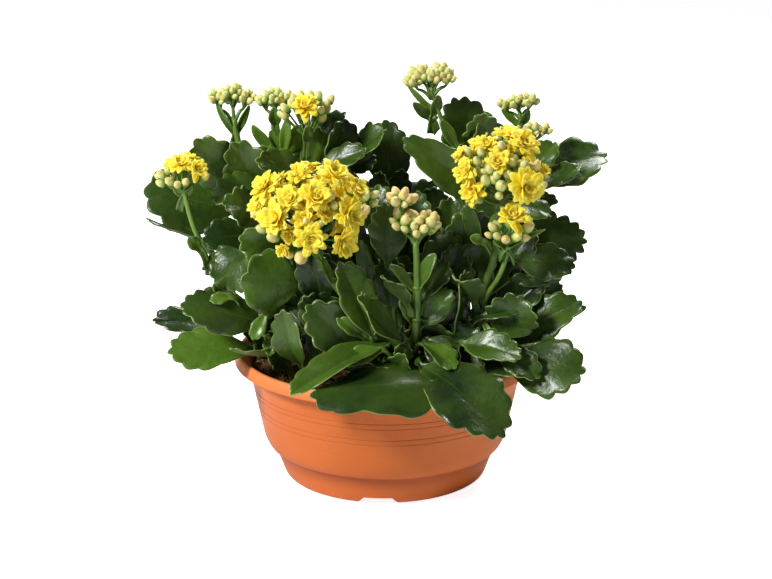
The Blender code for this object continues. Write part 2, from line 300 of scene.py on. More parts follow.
pot_outline = [
    (0.0, 6.6, 0.0),
    (63.5, 6.6, 1.5),
    (65.5, 0.0, 0.8),
    (72.5, 0.0, 1.5),
    (76.8, 1.8, 2.5),
    (78.6, 5.5, 4.0),
    (81.2, 13.0, 6.0),
    (84.6, 21.0, 3.0),
    (86.4, 24.4, 1.2),
    (89.0, 25.2, 1.4),
    (91.4, 29.0, 3.0),
    (*WALL_FOOT, 6.0),
]
for line in TURNED_LINES:
    pot_outline.append((wall_radius(line - LINE_HALF), line - LINE_HALF, 0.15))
    pot_outline.append((wall_radius(line) - LINE_DEPTH, line, 0.2))
    pot_outline.append((wall_radius(line + LINE_HALF), line + LINE_HALF, 0.15))
pot_outline += [
    (104.6, 88.0, 1.5),
    (110.6, 95.0, 0.8),
    (112.6, 90.2, 0.5),
    (113.4, 89.8, 0.3),
    (114.6, 89.8, 0.6),
    (115.0, 90.6, 0.6),
    (112.9, 96.6, 1.6),
    (111.6, 98.4, 1.4),
    (109.8, 98.4, 1.2),
    (102.6, 89.6, 4.0),
    (91.4, 36.0, 4.0),
    (86.6, 26.6, 2.0),
    (82.6, 22.0, 2.0),
    (76.4, 9.0, 2.0),
    (0.0, 9.0, 0.0),
]
pot = spun("flower_pot", rounded(pot_outline), POT_TURNS, terracotta)

for notch in range(NOTCH_COUNT):
    deselect_all()
    bpy.ops.mesh.primitive_cube_add(size=1.0)
    cutter = bpy.context.object
    for corner in cutter.data.vertices:
        low = corner.co.z < 0.0
        across = math.copysign(NOTCH_FOOT_HALF if low else NOTCH_TOP_HALF, corner.co.x)
        deep = NOTCH_OUTER if corner.co.y < 0.0 else NOTCH_INNER
        tall = NOTCH_BELOW if low else NOTCH_TOP
        corner.co = (across * MM, deep * MM, tall * MM)
    turn = math.radians(NOTCH_TURN + 360.0 / NOTCH_COUNT * notch)
    cutter.data.transform(Matrix.Rotation(turn, 4, "Z"))
    pick(pot)
    cut = pot.modifiers.new("notch", "BOOLEAN")
    cut.operation = "DIFFERENCE"
    cut.solver = "EXACT"
    cut.object = cutter
    bpy.ops.object.modifier_apply(modifier=cut.name)
    bpy.data.objects.remove(cutter, do_unlink=True)
pick(pot)
bpy.ops.object.shade_smooth_by_angle(angle=math.radians(SHARP_EDGE))
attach(pot, "root")
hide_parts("pot")


# ----------------------------------------------------------------- the soil
# A plug of dark fibrous potting mix, slightly domed and rough, with loose
# crumbs and golden flecks of bark pressed into its top.
SOIL_SEED = 11
SOIL_TURNS = 120
SOIL_RINGS = 34
SOIL_FOOT = (96.0, 60.0)
SOIL_RIM = (101.2, 86.0)
SOIL_DOME = 2.5
CRUMB_COUNT = 420
CRUMB_SPREAD = 99.0
CRUMB_LEVEL = 87.6

EARTH_DARK = (0.024, 0.011, 0.005)
EARTH_BROWN = (0.15, 0.065, 0.026)
GRAIN_TAN = (0.32, 0.17, 0.07)
FLECK_GOLD = (0.62, 0.38, 0.10)

earth = Finish("potting_mix", {"Specular IOR Level": 0.25})
earth_clod = earth.cloud(160.0, 5.0, 0.7)
earth_grain = earth.cloud(900.0, 4.0, 0.7)
earth_fleck = earth.cloud(330.0, 2.0, 0.5)
earth_colour = earth.blend(earth_clod.rising(0.35, 0.7), EARTH_DARK, EARTH_BROWN)
earth_colour = earth.blend(earth_grain.rising(0.55, 0.75) * 0.7, earth_colour, GRAIN_TAN)
earth_colour = earth.blend(earth_fleck.rising(0.60, 0.66) * 0.75, earth_colour, FLECK_GOLD)
earth.paint(earth_colour, 0.85 + earth_grain * 0.12, earth_clod * 0.0016 + earth_grain * 0.0006)

soil_outline = [(0.0, SOIL_FOOT[1]), SOIL_FOOT]
for step in range(SOIL_RINGS):
    share = step / (SOIL_RINGS - 1)
    swell = SOIL_DOME * math.sin(share * math.pi / 2.0)
    soil_outline.append((SOIL_RIM[0] * (1.0 - share), SOIL_RIM[1] + swell))
soil = spun("potting_soil", soil_outline, SOIL_TURNS, earth)
for point in soil.data.vertices:
    radius = point.co.xy.length
    if point.co.z > 0.08 and radius < 0.1:
        rough = noise.noise(point.co * 120.0) * 0.0016 + noise.noise(point.co * 420.0) * 0.0010
        point.co.z += rough

dice = random.Random(SOIL_SEED)
deselect_all()
bpy.ops.mesh.primitive_ico_sphere_add(subdivisions=1, radius=MM)
crumb = bpy.context.object
work = bmesh.new()
work.from_mesh(soil.data)
for count in range(CRUMB_COUNT):
    angle = dice.uniform(0.0, math.tau)
    radius = CRUMB_SPREAD * math.sqrt(dice.random()) * MM
    size = dice.uniform(0.7, 2.3)
    turn = Matrix.Rotation(dice.uniform(0.0, 3.0), 4, (dice.random(), dice.random(), 0.4))
    stretch = Matrix.Diagonal((size * dice.uniform(0.8, 1.8), size, size * 0.7, 1.0))
    spot = Matrix.Translation((radius * math.cos(angle), radius * math.sin(angle), CRUMB_LEVEL * MM))
    lump = crumb.data.copy()
    lump.transform(spot @ turn @ stretch)
    work.from_mesh(lump)
    bpy.data.meshes.remove(lump)
work.to_mesh(soil.data)
work.free()
bpy.data.objects.remove(crumb, do_unlink=True)
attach(soil, "root")
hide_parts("soil")


# ---------------------------------------------------------------- the stems
# Fleshy green stems, thicker at the foot, that rise from the soil and fork
# into flower stalks.  Each is a tapering tube along its route, with a low
# ring at every leaf joint.
STEM_FOOT = 84.0
STEM_RADIUS = 3.5
STEM_TAPER = 0.62
STALK_RADIUS = 2.1
STALK_END_RADIUS = 1.6
RING_SHRINK = 0.86
RING_FLAT = 0.75

STEM_DEEP = (0.080, 0.165, 0.018)
STEM_FRESH = (0.14, 0.26, 0.035)
STREAK_GREEN = (0.24, 0.36, 0.08)
STEM_LOW_DARK = (0.045, 0.085, 0.018)

stem_green = Finish("stem_skin", {"IOR": 1.45, "Coat Weight": 0.12, "Coat Roughness": 0.25})
stem_streak = stem_green.cloud(1.0, 3.0, 0.6, stem_green.stretched(900.0, 900.0, 30.0))
stem_patch = stem_green.cloud(60.0, 2.0)
stem_height = stem_green.height()
stem_colour = stem_green.blend(stem_patch.rising(0.3, 0.7), STEM_DEEP, STEM_FRESH)
stem_colour = stem_green.blend(stem_streak.rising(0.45, 0.75) * 0.35, stem_colour, STREAK_GREEN)
# The stems are darker green towards the soil.
stem_colour = stem_green.blend(1.0 - stem_height.rising(0.10, 0.17), stem_colour, STEM_LOW_DARK)
stem_green.paint(stem_colour, 0.36 + stem_patch * 0.14, stem_streak * 0.00012)


def tube(name, route, radius_start, radius_end):
    """A round tapering tube along a smooth route in millimetres."""
    curve = bpy.data.curves.new(name, "CURVE")
    curve.dimensions = "3D"
    curve.bevel_depth = MM
    curve.bevel_resolution = 4
    curve.use_fill_caps = True
    curve.resolution_u = 10
    spline = curve.splines.new("NURBS")
    spline.points.add(len(route) - 1)
    for number, place in enumerate(route):
        spline.points[number].co = (place[0] * MM, place[1] * MM, place[2] * MM, 1.0)
        share = number / (len(route) - 1)
        spline.points[number].radius = radius_start + (radius_end - radius_start) * share
    spline.use_endpoint_u = True
    spline.order_u = 3
    pick(new_object(name, curve))
    bpy.ops.object.convert(target="MESH")
    bpy.ops.object.mode_set(mode="EDIT")
    weld_and_smooth()
    return bpy.context.object


def joint_ring(place, radius):
    """The low swelling of a stem where a pair of leaves joins it."""
    deselect_all()
    bpy.ops.mesh.primitive_uv_sphere_add(segments=16, ring_count=8, radius=radius * MM)
    ring = bpy.context.object
    ring.data.transform(Matrix.Diagonal((1.0, 1.0, RING_FLAT, 1.0)))
    ring.data.transform(Matrix.Translation(Vector(place) * MM))
    bpy.ops.object.shade_smooth()
    return ring


def joined(name, things):
    """Join objects into one piece under this name."""
    deselect_all()
    for thing in things:
        thing.select_set(True)
    bpy.context.view_layer.objects.active = things[0]
    bpy.ops.object.join()
    whole = bpy.context.object
    whole.name = name
    whole.data.name = name
    return whole


def shoot(name, trunk, stalks, rings, radius=STEM_RADIUS):
    """A stem and the flower stalks that fork from it."""
    things = [tube(name, trunk, radius, radius * STEM_TAPER)]
    for path in stalks:
        things.append(tube(name, path, STALK_RADIUS, STALK_END_RADIUS))
    for place, swell in rings:
        things.append(joint_ring(place, swell * RING_SHRINK))
    stem = joined(name + "_growth", things)
    stem.data.materials.append(stem_green.material)
    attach(stem, "root")
    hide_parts(name)


shoot("stem_front_left", [(-52, -34, STEM_FOOT), (-54, -34, 130), (-53, -36, 172)], [],
      [((-53, -34, 100), 4.8), ((-54, -34, 158), 3.9)])
shoot("stem_centre_left",
      [(-4, -50, STEM_FOOT), (-5, -56, 116), (-26, -56, 150), (-45, -58, 176), (-53, -60, 204)],
      [], [((-7, -55, 122), 4.6), ((-38, -57, 168), 3.8)])
shoot("stem_centre_right",
      [(18, -62, STEM_FOOT), (22, -60, 120), (24, -60, 160), (22, -60, 198)], [],
      [((21, -61, 112), 4.6), ((23, -60, 139), 4.2), ((23, -60, 163), 3.8)])
shoot("stem_left",
      [(-78, -22, STEM_FOOT), (-84, -20, 130), (-98, -16, 162), (-130, -20, 176), (-144, -22, 200),
       (-149, -20, 230)], [], [((-81, -21, 112), 4.2), ((-96, -17, 157), 3.4)], 3.0)
shoot("stem_top_left",
      [(-66, 16, STEM_FOOT), (-82, 16, 150), (-100, 20, 206), (-111, 36, 244), (-115, 40, 268)],
      [], [((-99, 20, 203), 3.9), ((-108, 32, 234), 3.4)])
shoot("stem_top_centre",
      [(-40, 30, STEM_FOOT), (-52, 30, 150), (-74, 32, 212), (-84, 36, 244), (-85, 36, 272)],
      [[(-60, 30, 180), (-60, 26, 206), (-61, 22, 230), (-58, 20, 260)]],
      [((-62, 31, 178), 4.2), ((-60, 22, 232), 2.9)])
shoot("stem_right",
      [(62, -34, STEM_FOOT), (68, -38, 120), (72, -39, 155), (84, -37, 190), (85, -36, 228)],
      [[(70, -38, 136), (74, -44, 152), (86, -50, 172), (90, -53, 192)]],
      [((67, -37, 114), 4.8), ((70, -38, 138), 4.4), ((82, -37, 184), 3.8)])
shoot("stem_top_right",
      [(64, 32, STEM_FOOT), (74, 28, 140), (86, 30, 200), (94, 38, 240)],
      [[(80, 29, 182), (72, 34, 216), (55, 39, 246), (42, 42, 266), (34, 42, 292)],
       [(88, 33, 214), (98, 46, 236), (106, 54, 254), (103, 54, 268)]],
      [((82, 29, 184), 4.2), ((87, 32, 208), 3.8), ((38, 42, 268), 2.8)])
shoot("stem_back", [(2, 52, STEM_FOOT), (4, 58, 140), (8, 62, 196)], [],
      [((3, 56, 118), 4.6), ((7, 61, 186), 3.8)])


# --------------------------------------------------------------- the leaves
# Thick waxy leaves on short stalks, deep green above and paler below, with
# rounded scallops and a thin pale margin.  Each starts as a flat blank that
# is cut to its outline, bent to its place and thickened towards the midrib.
BLANK_SIZES = {"full": (12, 60), "small": (8, 36), "plain": (6, 16)}
STALK_ROWS = 6
STALK_HALF = 2.6
STALK_SINK = 2.5
LEAF_BODY = 3.0
LEAF_WELD = 0.000002
BEYOND_PAINT = 5.0
SCALLOP_DEPTH = 0.100
WAVE_DEPTH = 0.075
LEAF_SEED = 5

PORE_GREEN = (0.10, 0.15, 0.05)
VEIN_GREEN = (0.13, 0.22, 0.04)
MARGIN_GREEN = (0.27, 0.38, 0.08)
MARGIN_BLUSH = (0.20, 0.10, 0.04)
LEAF_STALK_GREEN = (0.10, 0.18, 0.03)
UPPER_DARK = (0.008, 0.028, 0.005)
UPPER_FRESH = (0.046, 0.094, 0.009)
UPPER_YOUNG = (0.150, 0.300, 0.022)
UNDER_DARK = (0.040, 0.075, 0.016)
UNDER_FRESH = (0.070, 0.125, 0.026)
UNDER_YOUNG = (0.150, 0.270, 0.040)


def waxy_green(name, steady, dark, fresh, young):
    """A leaf finish with mottled green and a pale midrib and margin.

    It comes with its colour and its mottling, so that a side adds its own gloss.
    """
    finish = Finish(name, steady)
    patch = finish.cloud(27.0, 3.0)
    pore = finish.cloud(900.0, 3.0, 0.6)
    skin = finish.cloud(210.0, 3.0, 0.6)
    colour = finish.blend(patch.rising(0.3, 0.72), dark, fresh)
    colour = finish.blend(finish.kept("youth"), colour, young)
    # Painted shade: darker patches that follow the skin mottle stand in for shade in the puckered skin.
    painted_skin_shade = tuple(part * 0.5 for part in dark)
    colour = finish.blend(skin.rising(0.35, 0.75) * 0.22, colour, painted_skin_shade)
    colour = finish.blend(pore.rising(0.60, 0.74) * 0.20, colour, PORE_GREEN)
    vein = 1.0 - finish.kept("from_midrib").rising(0.2, 1.3)
    colour = finish.blend(vein * 0.22, colour, VEIN_GREEN)
    edge = 1.0 - finish.kept("from_margin").rising(0.08, 0.55)
    edge = edge * patch.rising(0.20, 0.60)
    colour = finish.blend(edge * 0.85, colour, MARGIN_GREEN)
    blush = (1.0 - finish.kept("from_margin").rising(0.0, 0.4)) * skin.rising(0.52, 0.66)
    colour = finish.blend(blush * 0.3, colour, MARGIN_BLUSH)
    stalk = 1.0 - finish.kept("up_blade").rising(0.0, 0.2)
    colour = finish.blend(stalk * 0.45, colour, LEAF_STALK_GREEN)
    return finish, colour, patch, pore, skin


leaf_top, colour, patch, pore, skin = waxy_green(
    "leaf_upper_side",
    {"IOR": 1.45, "Coat Weight": 0.12, "Coat Roughness": 0.15, "Coat IOR": 1.5},
    UPPER_DARK,
    UPPER_FRESH,
    UPPER_YOUNG,
)
leaf_top.paint(
    colour,
    0.25 + patch * 0.12 + pore.rising(0.5, 0.7) * 0.18,
    pore * 0.00012 + skin * 0.00060 + patch * 0.0010,
)
leaf_under, colour, patch, pore, skin = waxy_green(
    "leaf_under_side",
    {"IOR": 1.45},
    UNDER_DARK,
    UNDER_FRESH,
    UNDER_YOUNG,
)
leaf_under.paint(colour, 0.48 + patch * 0.16, pore * 0.00008 + skin * 0.0003)


def leaf_blank(columns, rows):
    """A flat sheet to cut leaves from, removed when all are made."""
    deselect_all()
    bpy.ops.mesh.primitive_grid_add(x_subdivisions=columns, y_subdivisions=rows, size=2.0)
    blank = bpy.context.object
    bpy.ops.object.shade_smooth()
    return blank


BLANKS = {
    kind: leaf_blank(columns, rows + STALK_ROWS)
    for kind, (columns, rows) in BLANK_SIZES.items()
}


def margin_of(share, width, broadest):
    """Half width of the uncut outline where the margin is share of the way up."""
    turn = math.log(0.5) / math.log(broadest)
    swell = max(0.0, math.sin(math.pi * min(1.0, share) ** turn))
    blade = width / 2.0 * swell ** (0.74 - 0.26 * share)
    return math.hypot(blade, STALK_HALF * (1.0 - share))


def keep(mesh, label, values):
    """Store one number for each of the mesh's points, for its finish to read."""
    mesh.attributes.new(label, "FLOAT", "POINT").data.foreach_set("value", values)


def leaf_mesh(name, kind, dice, joint, base, tip, width, face, arch, cup, youth, lobes, twist, low):
    """One leaf, cut and bent from a blank: stalk from joint to base, blade on to tip.

    face is the way that its upper side looks, arch the rise of its middle and
    cup the lift of its halves in degrees.  lobes counts the scallops of a side,
    twist turns the tip in degrees, and low moves the broadest place down the
    blade by that share of its length.
    """
    columns, rows = BLANK_SIZES[kind]
    joint, base, tip = Vector(joint), Vector(base), Vector(tip)
    axis = (tip - base).normalized()
    length = (tip - base).length
    up = Vector(face)
    up = (up - axis * up.dot(axis)).normalized()
    side = axis.cross(up)
    root = joint + (joint - base).normalized() * STALK_SINK
    bend = base - axis * (base - root).length * 0.45
    broadest = dice.uniform(0.47, 0.57) - low
    cut = (SCALLOP_DEPTH * width + 0.5) if lobes else 0.0
    wave = WAVE_DEPTH * width * dice.uniform(0.6, 1.2)
    ripple = [dice.uniform(0.0, 6.3) for _ in range(4)]
    rate = [1.0 + dice.uniform(-0.10, 0.10) for _ in range(2)]
    grain = Vector((dice.uniform(0, 90), dice.uniform(0, 90), 0.0))
    mesh = BLANKS[kind].data.copy()
    mesh.name = name
    from_margin, from_midrib, up_blade, weights = [], [], [], []
    for point in mesh.vertices:
        offset = round((point.co.x + 1.0) / 2.0 * columns) / columns * 2.0 - 1.0
        row = round((point.co.y + 1.0) / 2.0 * (rows + STALK_ROWS))
        out = abs(offset)
        if row < STALK_ROWS:
            # The stalk is a strip, bowed from its joint to the foot of the blade.
            share = row / STALK_ROWS
            centre = root.lerp(bend, share).lerp(bend.lerp(base, share), share)
            half = STALK_HALF * (1.25 - 0.25 * share)
            place = centre + side * offset * half + up * 0.9 * out * out
            from_margin.append(BEYOND_PAINT)
            from_midrib.append(BEYOND_PAINT)
            up_blade.append(0.0)
            weights.append(1.0 if out < 0.99 else 0.55)
        else:
            # A row of the blade runs in a bow from the midrib up to its place on the margin.
            climb = (row - STALK_ROWS) / rows
            hand = 0 if offset < 0.0 else 1
            reach = math.sin(math.pi * climb / 2.0)
            middle = 0.93 * climb
            rim_x = margin_of(reach, width, broadest)
            rib = math.hypot(rim_x, (reach - middle) * length)
            # The scallops are the crests of a wave that is counted from the tip.
            phase = lobes * (1.0 - climb) / 0.86 * rate[hand]
            phase += 0.07 * math.sin(math.tau * phase)
            crest = abs(math.cos(math.pi * phase)) ** 0.55 if lobes else 1.0
            fade = min(1.0, max(0.0, (climb - 0.10) / 0.22))
            deep = cut * (0.75 + 0.5 * noise.noise(grain + Vector((phase * 0.9, hand * 7.0, 0.0))))
            dip = min(0.55, deep * (1.0 - crest) * fade / max(rib, 0.01))
            way = out * (1.0 - dip * out * out)
            aside = math.copysign(rim_x * way, offset) if out else 0.0
            along = (middle + (reach - middle) * way) * length
            share = along / length
            # The halves are cupped, the midrib is sunk and the margin is wavy.
            free = 1.0 - climb ** 8
            bowl = math.sqrt(aside * aside + 1.0) - 1.0
            rise = bowl * math.sin(math.radians(cup))
            rise -= 0.9 * math.exp(-(aside / 1.7) ** 2) * (1.0 - share) ** 0.5
            rise -= 0.45 * (1.0 - crest) * out * fade * free
            rise += wave * out * out * math.sin(climb * 8.5 + ripple[hand]) * free * fade
            rise += 0.6 * wave * math.sin(climb * 3.2 + ripple[2]) * share
            rise += 0.02 * width * out ** 4 * free
            # The whole row then turns with the twist and lies on the arched midrib.
            spin = math.radians(twist) * share
            across = side * math.cos(spin) + up * math.sin(spin)
            over = up * math.cos(spin) - side * math.sin(spin)
            centre = base + axis * along + up * length * 4.0 * arch * share * (1.0 - share)
            place = centre + across * aside * math.cos(math.radians(cup)) + over * rise
            from_margin.append((1.0 - out) * rib)
            from_midrib.append(abs(aside) + 2.0 * share * share)
            up_blade.append(share)
            body = 0.74 - 0.16 * share
            body += (0.26 - body) * out ** 2.5
            weights.append(body if climb > 0.0 else 0.8)
        point.co = place * MM
    keep(mesh, "from_margin", from_margin)
    keep(mesh, "from_midrib", from_midrib)
    keep(mesh, "up_blade", up_blade)
    keep(mesh, "youth", [youth] * len(weights))
    made = new_object(name, mesh, leaf_top, leaf_under)
    thickness = made.vertex_groups.new(name="body")
    for number, weight in enumerate(weights):
        thickness.add([number], weight, "REPLACE")
    pick(made)
    bpy.ops.object.mode_set(mode="EDIT")
    bpy.ops.mesh.select_all(action="SELECT")
    bpy.ops.mesh.remove_doubles(threshold=LEAF_WELD)
    bpy.ops.object.mode_set(mode="OBJECT")
    thick = made.modifiers.new("thick", "SOLIDIFY")
    thick.thickness = LEAF_BODY * MM * min(1.0, 0.45 + width / 60.0)
    thick.offset = 0.0
    thick.vertex_group = "body"
    thick.thickness_vertex_group = 0.0
    thick.material_offset = 1
    thick.material_offset_rim = 0
    bpy.ops.object.modifier_apply(modifier=thick.name)
    made.vertex_groups.clear()
    return made


leaf_dice = random.Random(LEAF_SEED)


def leaf(name, joint, base, tip, width, face, arch=0.05, cup=0.0, youth=0.15, lobes=4.3, low=0.0):
    """A full leaf that stands for the plain one of the same name."""
    made = leaf_mesh(name + "_blade", "full", leaf_dice, joint, base, tip, width, face,
                     arch, cup, youth, lobes, 0.0, low)
    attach(made, "root")
    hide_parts("leaf_" + name)


# Leaves low over the front of the pot.
leaf("front_low", (18, -69, 101), (34, -99, 103), (-54, -127, 101), 56, (0, -0.6, 1), 0.06, -20,
     0.04, low=0.24)
leaf("front_right", (26, -66, 112), (26, -78, 109), (85, -125, 71), 56, (0.3, -1, 0.9), 0.12, 8, 0.0, 5.2)
leaf("front_fold", (-1, -61, 115), (1, -69, 122), (-67, -125, 102), 32, (-0.2, -0.5, 1), 0.05, 30, 0.35)
leaf("centre_fold", (17, -66, 122), (12, -72, 126), (-20, -92, 166), 30, (0.5, -0.6, 1), -0.05, 20, 0.30)
leaf("centre_long", (-10, -62, 124), (-9, -72, 130), (-33, -72, 186), 32, (0.6, -1, 0.2), 0.03, 12, 0.30)
leaf("centre_shade", (-13, -59, 112), (-19, -65, 116), (-57, -76, 154), 40, (-0.1, -1, 0.6), 0.06, 8, 0.05)
leaf("front_tall", (-55, -42, 98), (-62, -58, 104), (-74, -76, 151), 28, (-0.5, -1, 0.1), 0.08, 15, 0.15)

# Leaves down the left side.
leaf("left_rim", (-59, -35, 106), (-76, -44, 106), (-113, -72, 121), 24, (-0.1, 0.2, 1), -0.03, 15,
     0.25, 3.6)
leaf("left_low", (-81, -28, 108), (-94, -42, 109), (-160, -60, 114), 36, (-0.1, -1, 1), 0.06,
     youth=0.55, low=-0.10)
leaf("left_dark", (-86, -26, 132), (-92, -47, 133), (-149, -65, 152), 36, (0, -1, 0.7), 0.06, youth=0.05)
leaf("left_broad", (-56, -42, 160), (-62, -50, 163), (-105, -68, 171), 50, (0, -1, 0.25), 0.08, -8,
     0.32, 2.6)
leaf("left_shadow", (-97, -24, 166), (-101, -34, 179), (-126, -37, 160), 40, (-0.2, -1, 0.3), 0.06,
     youth=0.10)
leaf("left_mid", (-97, 11, 200), (-90, -18, 208), (-119, -38, 221), 34, (0, -1, 0.7), 0.06, youth=0.15)
leaf("far_left", (-103, 23, 198), (-116, 25, 200), (-182, 12, 219), 58, (0, -1, 0.5), 0.04, 0, 0.12, 3.0)
leaf("left_point", (-99, -10, 166), (-120, -4, 176), (-178, -14, 204), 23, (0.2, 0.1, 1), 0.0, youth=0.15)

# Leaves near the top, at the left and in the middle.
leaf("top_left", (-106, 14, 214), (-113, 17, 219), (-142, 6, 260), 42, (-0.3, -1, 0.5), 0.05, 0, 0.18, 3.2)
leaf("top_left_inner", (-92, 14, 200), (-90, 12, 216), (-114, 0, 258), 40, (-0.2, -1, 0.4), 0.06,
     8, 0.22, 3.2)
leaf("top_centre", (-60, 36, 196), (-46, 36, 223), (2, 28, 261), 42, (-0.4, -0.35, 1), -0.03, 15, 0.20)
leaf("back_centre", (8, 68, 190), (4, 74, 206), (0, 84, 258), 38, (0, -1, 0.2), 0.06, youth=0.0)

# Leaves of the stems at the right.
leaf("top_right", (77, 24, 196), (78, 18, 213), (13, 8, 260), 34, (-0.35, -1, 0.5), 0.05, 10, 0.22,
     4.0, low=0.16)
leaf("top_right_tip", (86, 40, 222), (74, 58, 232), (52, 60, 280), 44, (0, -1, 0.2), 0.04, youth=0.12)
leaf("far_right", (92, 28, 206), (112, 32, 221), (170, 44, 239), 50, (0.2, -0.55, 1), 0.06, 8, 0.12, 3.6)
leaf("right_upper", (87, 22, 180), (98, 15, 178), (153, 7, 180), 46, (0.1, -1, 0.45), 0.06, 6, 0.04, 5.2)
leaf("right_mid", (88, -36, 180), (97, -24, 175), (141, -30, 170), 30, (0.1, -0.9, 0.6), 0.05, youth=0.10)
leaf("right_gloss", (75, -43, 120), (86, -50, 122), (100, -54, 156), 42, (0.1, -1, 0.6), 0.05, 10, 0.12)
leaf("right_long", (74, -36, 112), (90, -38, 113), (145, -42, 148), 35, (0, -0.9, 0.9), 0.05, 8, 0.12)
leaf("right_front", (63, -43, 110), (58, -62, 121), (98, -88, 119), 30, (0.3, -0.9, 0.8), 0.05, 20, 0.20)
leaf("right_low", (69, -44, 101), (88, -66, 105), (146, -82, 106), 49, (0.2, -1, 0.8), 0.06,
     youth=0.05, low=-0.10)

# Upright leaves in the middle of the plant.
leaf("mid_upright", (18, -53, 172), (2, -46, 178), (-1, -38, 222), 32, (0.3, -1, 0.25), 0.05, 15, 0.12)
leaf("mid_dark", (61, -43, 114), (51, -51, 124), (58, -50, 174), 32, (0.9, -0.4, 0.3), 0.05, 8, 0.05)
leaf("mid_fill", (18, -55, 122), (10, -38, 126), (6, -20, 178), 48, (0, -1, 0.3), 0.04, youth=0.0)
leaf("mid_right", (29, -55, 138), (38, -38, 142), (48, -22, 196), 42, (0, -1, 0.3), 0.04, youth=0.05)

# Leaves that close the back of the plant.
leaf("back_low_left", (-46, 38, 112), (-54, 52, 112), (-96, 104, 112), 46, (-0.4, 0.6, 1), 0.08)
leaf("back_low", (0, 62, 112), (-4, 74, 114), (-16, 138, 104), 46, (0, 0.6, 1), 0.10)
leaf("back_low_right", (68, 42, 112), (74, 54, 114), (100, 108, 116), 46, (0.4, 0.6, 1), 0.08)
leaf("back_left", (-72, 22, 150), (-82, 34, 156), (-120, 72, 186), 44, (-0.5, 0.8, 0.7), 0.06)
leaf("back_high", (4, 66, 160), (2, 78, 166), (-22, 118, 196), 42, (0, 1, 0.7), 0.06)
leaf("back_right", (84, 36, 170), (92, 48, 176), (126, 84, 206), 44, (0.5, 0.8, 0.7), 0.06)


# --------------------------------------------------------- the small leaves
# Younger and half hidden leaves, and the narrow bracts under the flowers.
# They are cut from lighter blanks and joined into one piece for each part
# of the plant.
SMALL_LEAF_SEED = 23
SMALL_STALK = 6.0
SMALL_STALK_DROP = 5.0
FULL_ENOUGH = 12
PAIR_OUT = 9.0
PAIR_UP = 2.0
PAIR_LOBES = 4.0
PAIR_YOUTH = 0.08

small_dice = random.Random(SMALL_LEAF_SEED)


def small_leaves(name, sprigs):
    """Joined small leaves: each is base, tip, width, face, youth and lobes."""
    things = []
    for number, (base, tip, width, face, youth, lobes) in enumerate(sprigs):
        base, tip = Vector(base), Vector(tip)
        joint = base + ((base - tip).normalized() * SMALL_STALK + Vector((0.0, 0.0, -SMALL_STALK_DROP)))
        arch = small_dice.uniform(0.02, 0.08)
        cup = small_dice.uniform(4.0, 22.0)
        twist = small_dice.uniform(-14.0, 14.0)
        kind = "small" if width > FULL_ENOUGH else "plain"
        things.append(leaf_mesh("%s_%d" % (name, number), kind, small_dice, joint, base, tip,
                                width, face, arch, cup, youth, lobes, twist, 0.0))
    whole = joined(name, things)
    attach(whole, "root")


def leaf_pairs(*rows):
    """Small leaves two by two, on opposite sides of a stem's joint.

    Each row is the joint's place, the turn about the stem, length, width and rise.
    """
    sprigs = []
    for joint, turn, length, width, rise in rows:
        climb = math.radians(rise)
        for heading in (turn, turn + 180.0):
            angle = math.radians(heading)
            outward = Vector((math.cos(angle), math.sin(angle), 0.0))
            base = Vector(joint) + outward * PAIR_OUT + UP * PAIR_UP
            tip = base + (outward * math.cos(climb) + UP * math.sin(climb)) * length
            face = UP * math.cos(climb) - outward * math.sin(climb)
            sprigs.append((base, tip, width, face, PAIR_YOUTH, PAIR_LOBES))
    return sprigs


FRONT = (0, -1, 0.5)
small_leaves("flower_bracts", [
    ((-115, 40, 257), (-128, 40, 281), 6, (-0.6, -1, 0.4), 0.45, 0),
    ((-113, 40, 257), (-103, 40, 278), 6, (0.6, -1, 0.4), 0.45, 0),
    ((32, 42, 277), (17, 42, 293), 4, (-0.5, -1, 0.4), 0.50, 0),
    ((100, 54, 262), (89, 55, 272), 5, (-0.5, -1, 0.4), 0.50, 0),
    ((-83, 34, 264), (-84, 31, 278), 10, (0, -1, 0.2), 0.35, 0),
    ((-59, 19, 254), (-58, 15, 268), 8, (0.3, -1, 0.1), 0.35, 0),
    ((34, 42, 268), (21, 40, 280), 8, (-0.5, -1, 0.5), 0.10, 0),
    ((36, 42, 269), (40, 40, 286), 10, (0.6, -1, 0.2), 0.55, 0),
    ((20, -60, 163), (3, -62, 181), 9, (-0.3, -0.6, 1), 0.40, 0),
    ((25, -60, 164), (36, -64, 190), 12, (-0.9, -1, 0.3), 0.35, 0),
    ((-45, -62, 184), (-38, -68, 168), 6, (0.5, -1, 0.3), 0.55, 0),
    ((-48, -62, 186), (-52, -68, 196), 5, (-0.5, -1, 0.3), 0.55, 0),
    ((-149, -20, 222), (-156, -24, 230), 5, (-0.5, -1, 0.3), 0.50, 0),
    ((-148, -20, 222), (-142, -24, 230), 5, (0.5, -1, 0.3), 0.50, 0),
    ((90, -54, 192), (116, -57, 206), 6, (0.3, -0.3, 1), 0.50, 0),
    ((88, -54, 190), (78, -58, 198), 5, (-0.5, -0.5, 1), 0.50, 0),
    ((104, 54, 260), (110, 52, 272), 7, (0.6, -1, 0.2), 0.40, 0),
    ((84, -37, 222), (71, -42, 226), 6, (-0.5, -1, 0.5), 0.45, 0),
    ((84, -37, 212), (100, -44, 216), 7, (0.4, -1, 0.6), 0.35, 0),
])
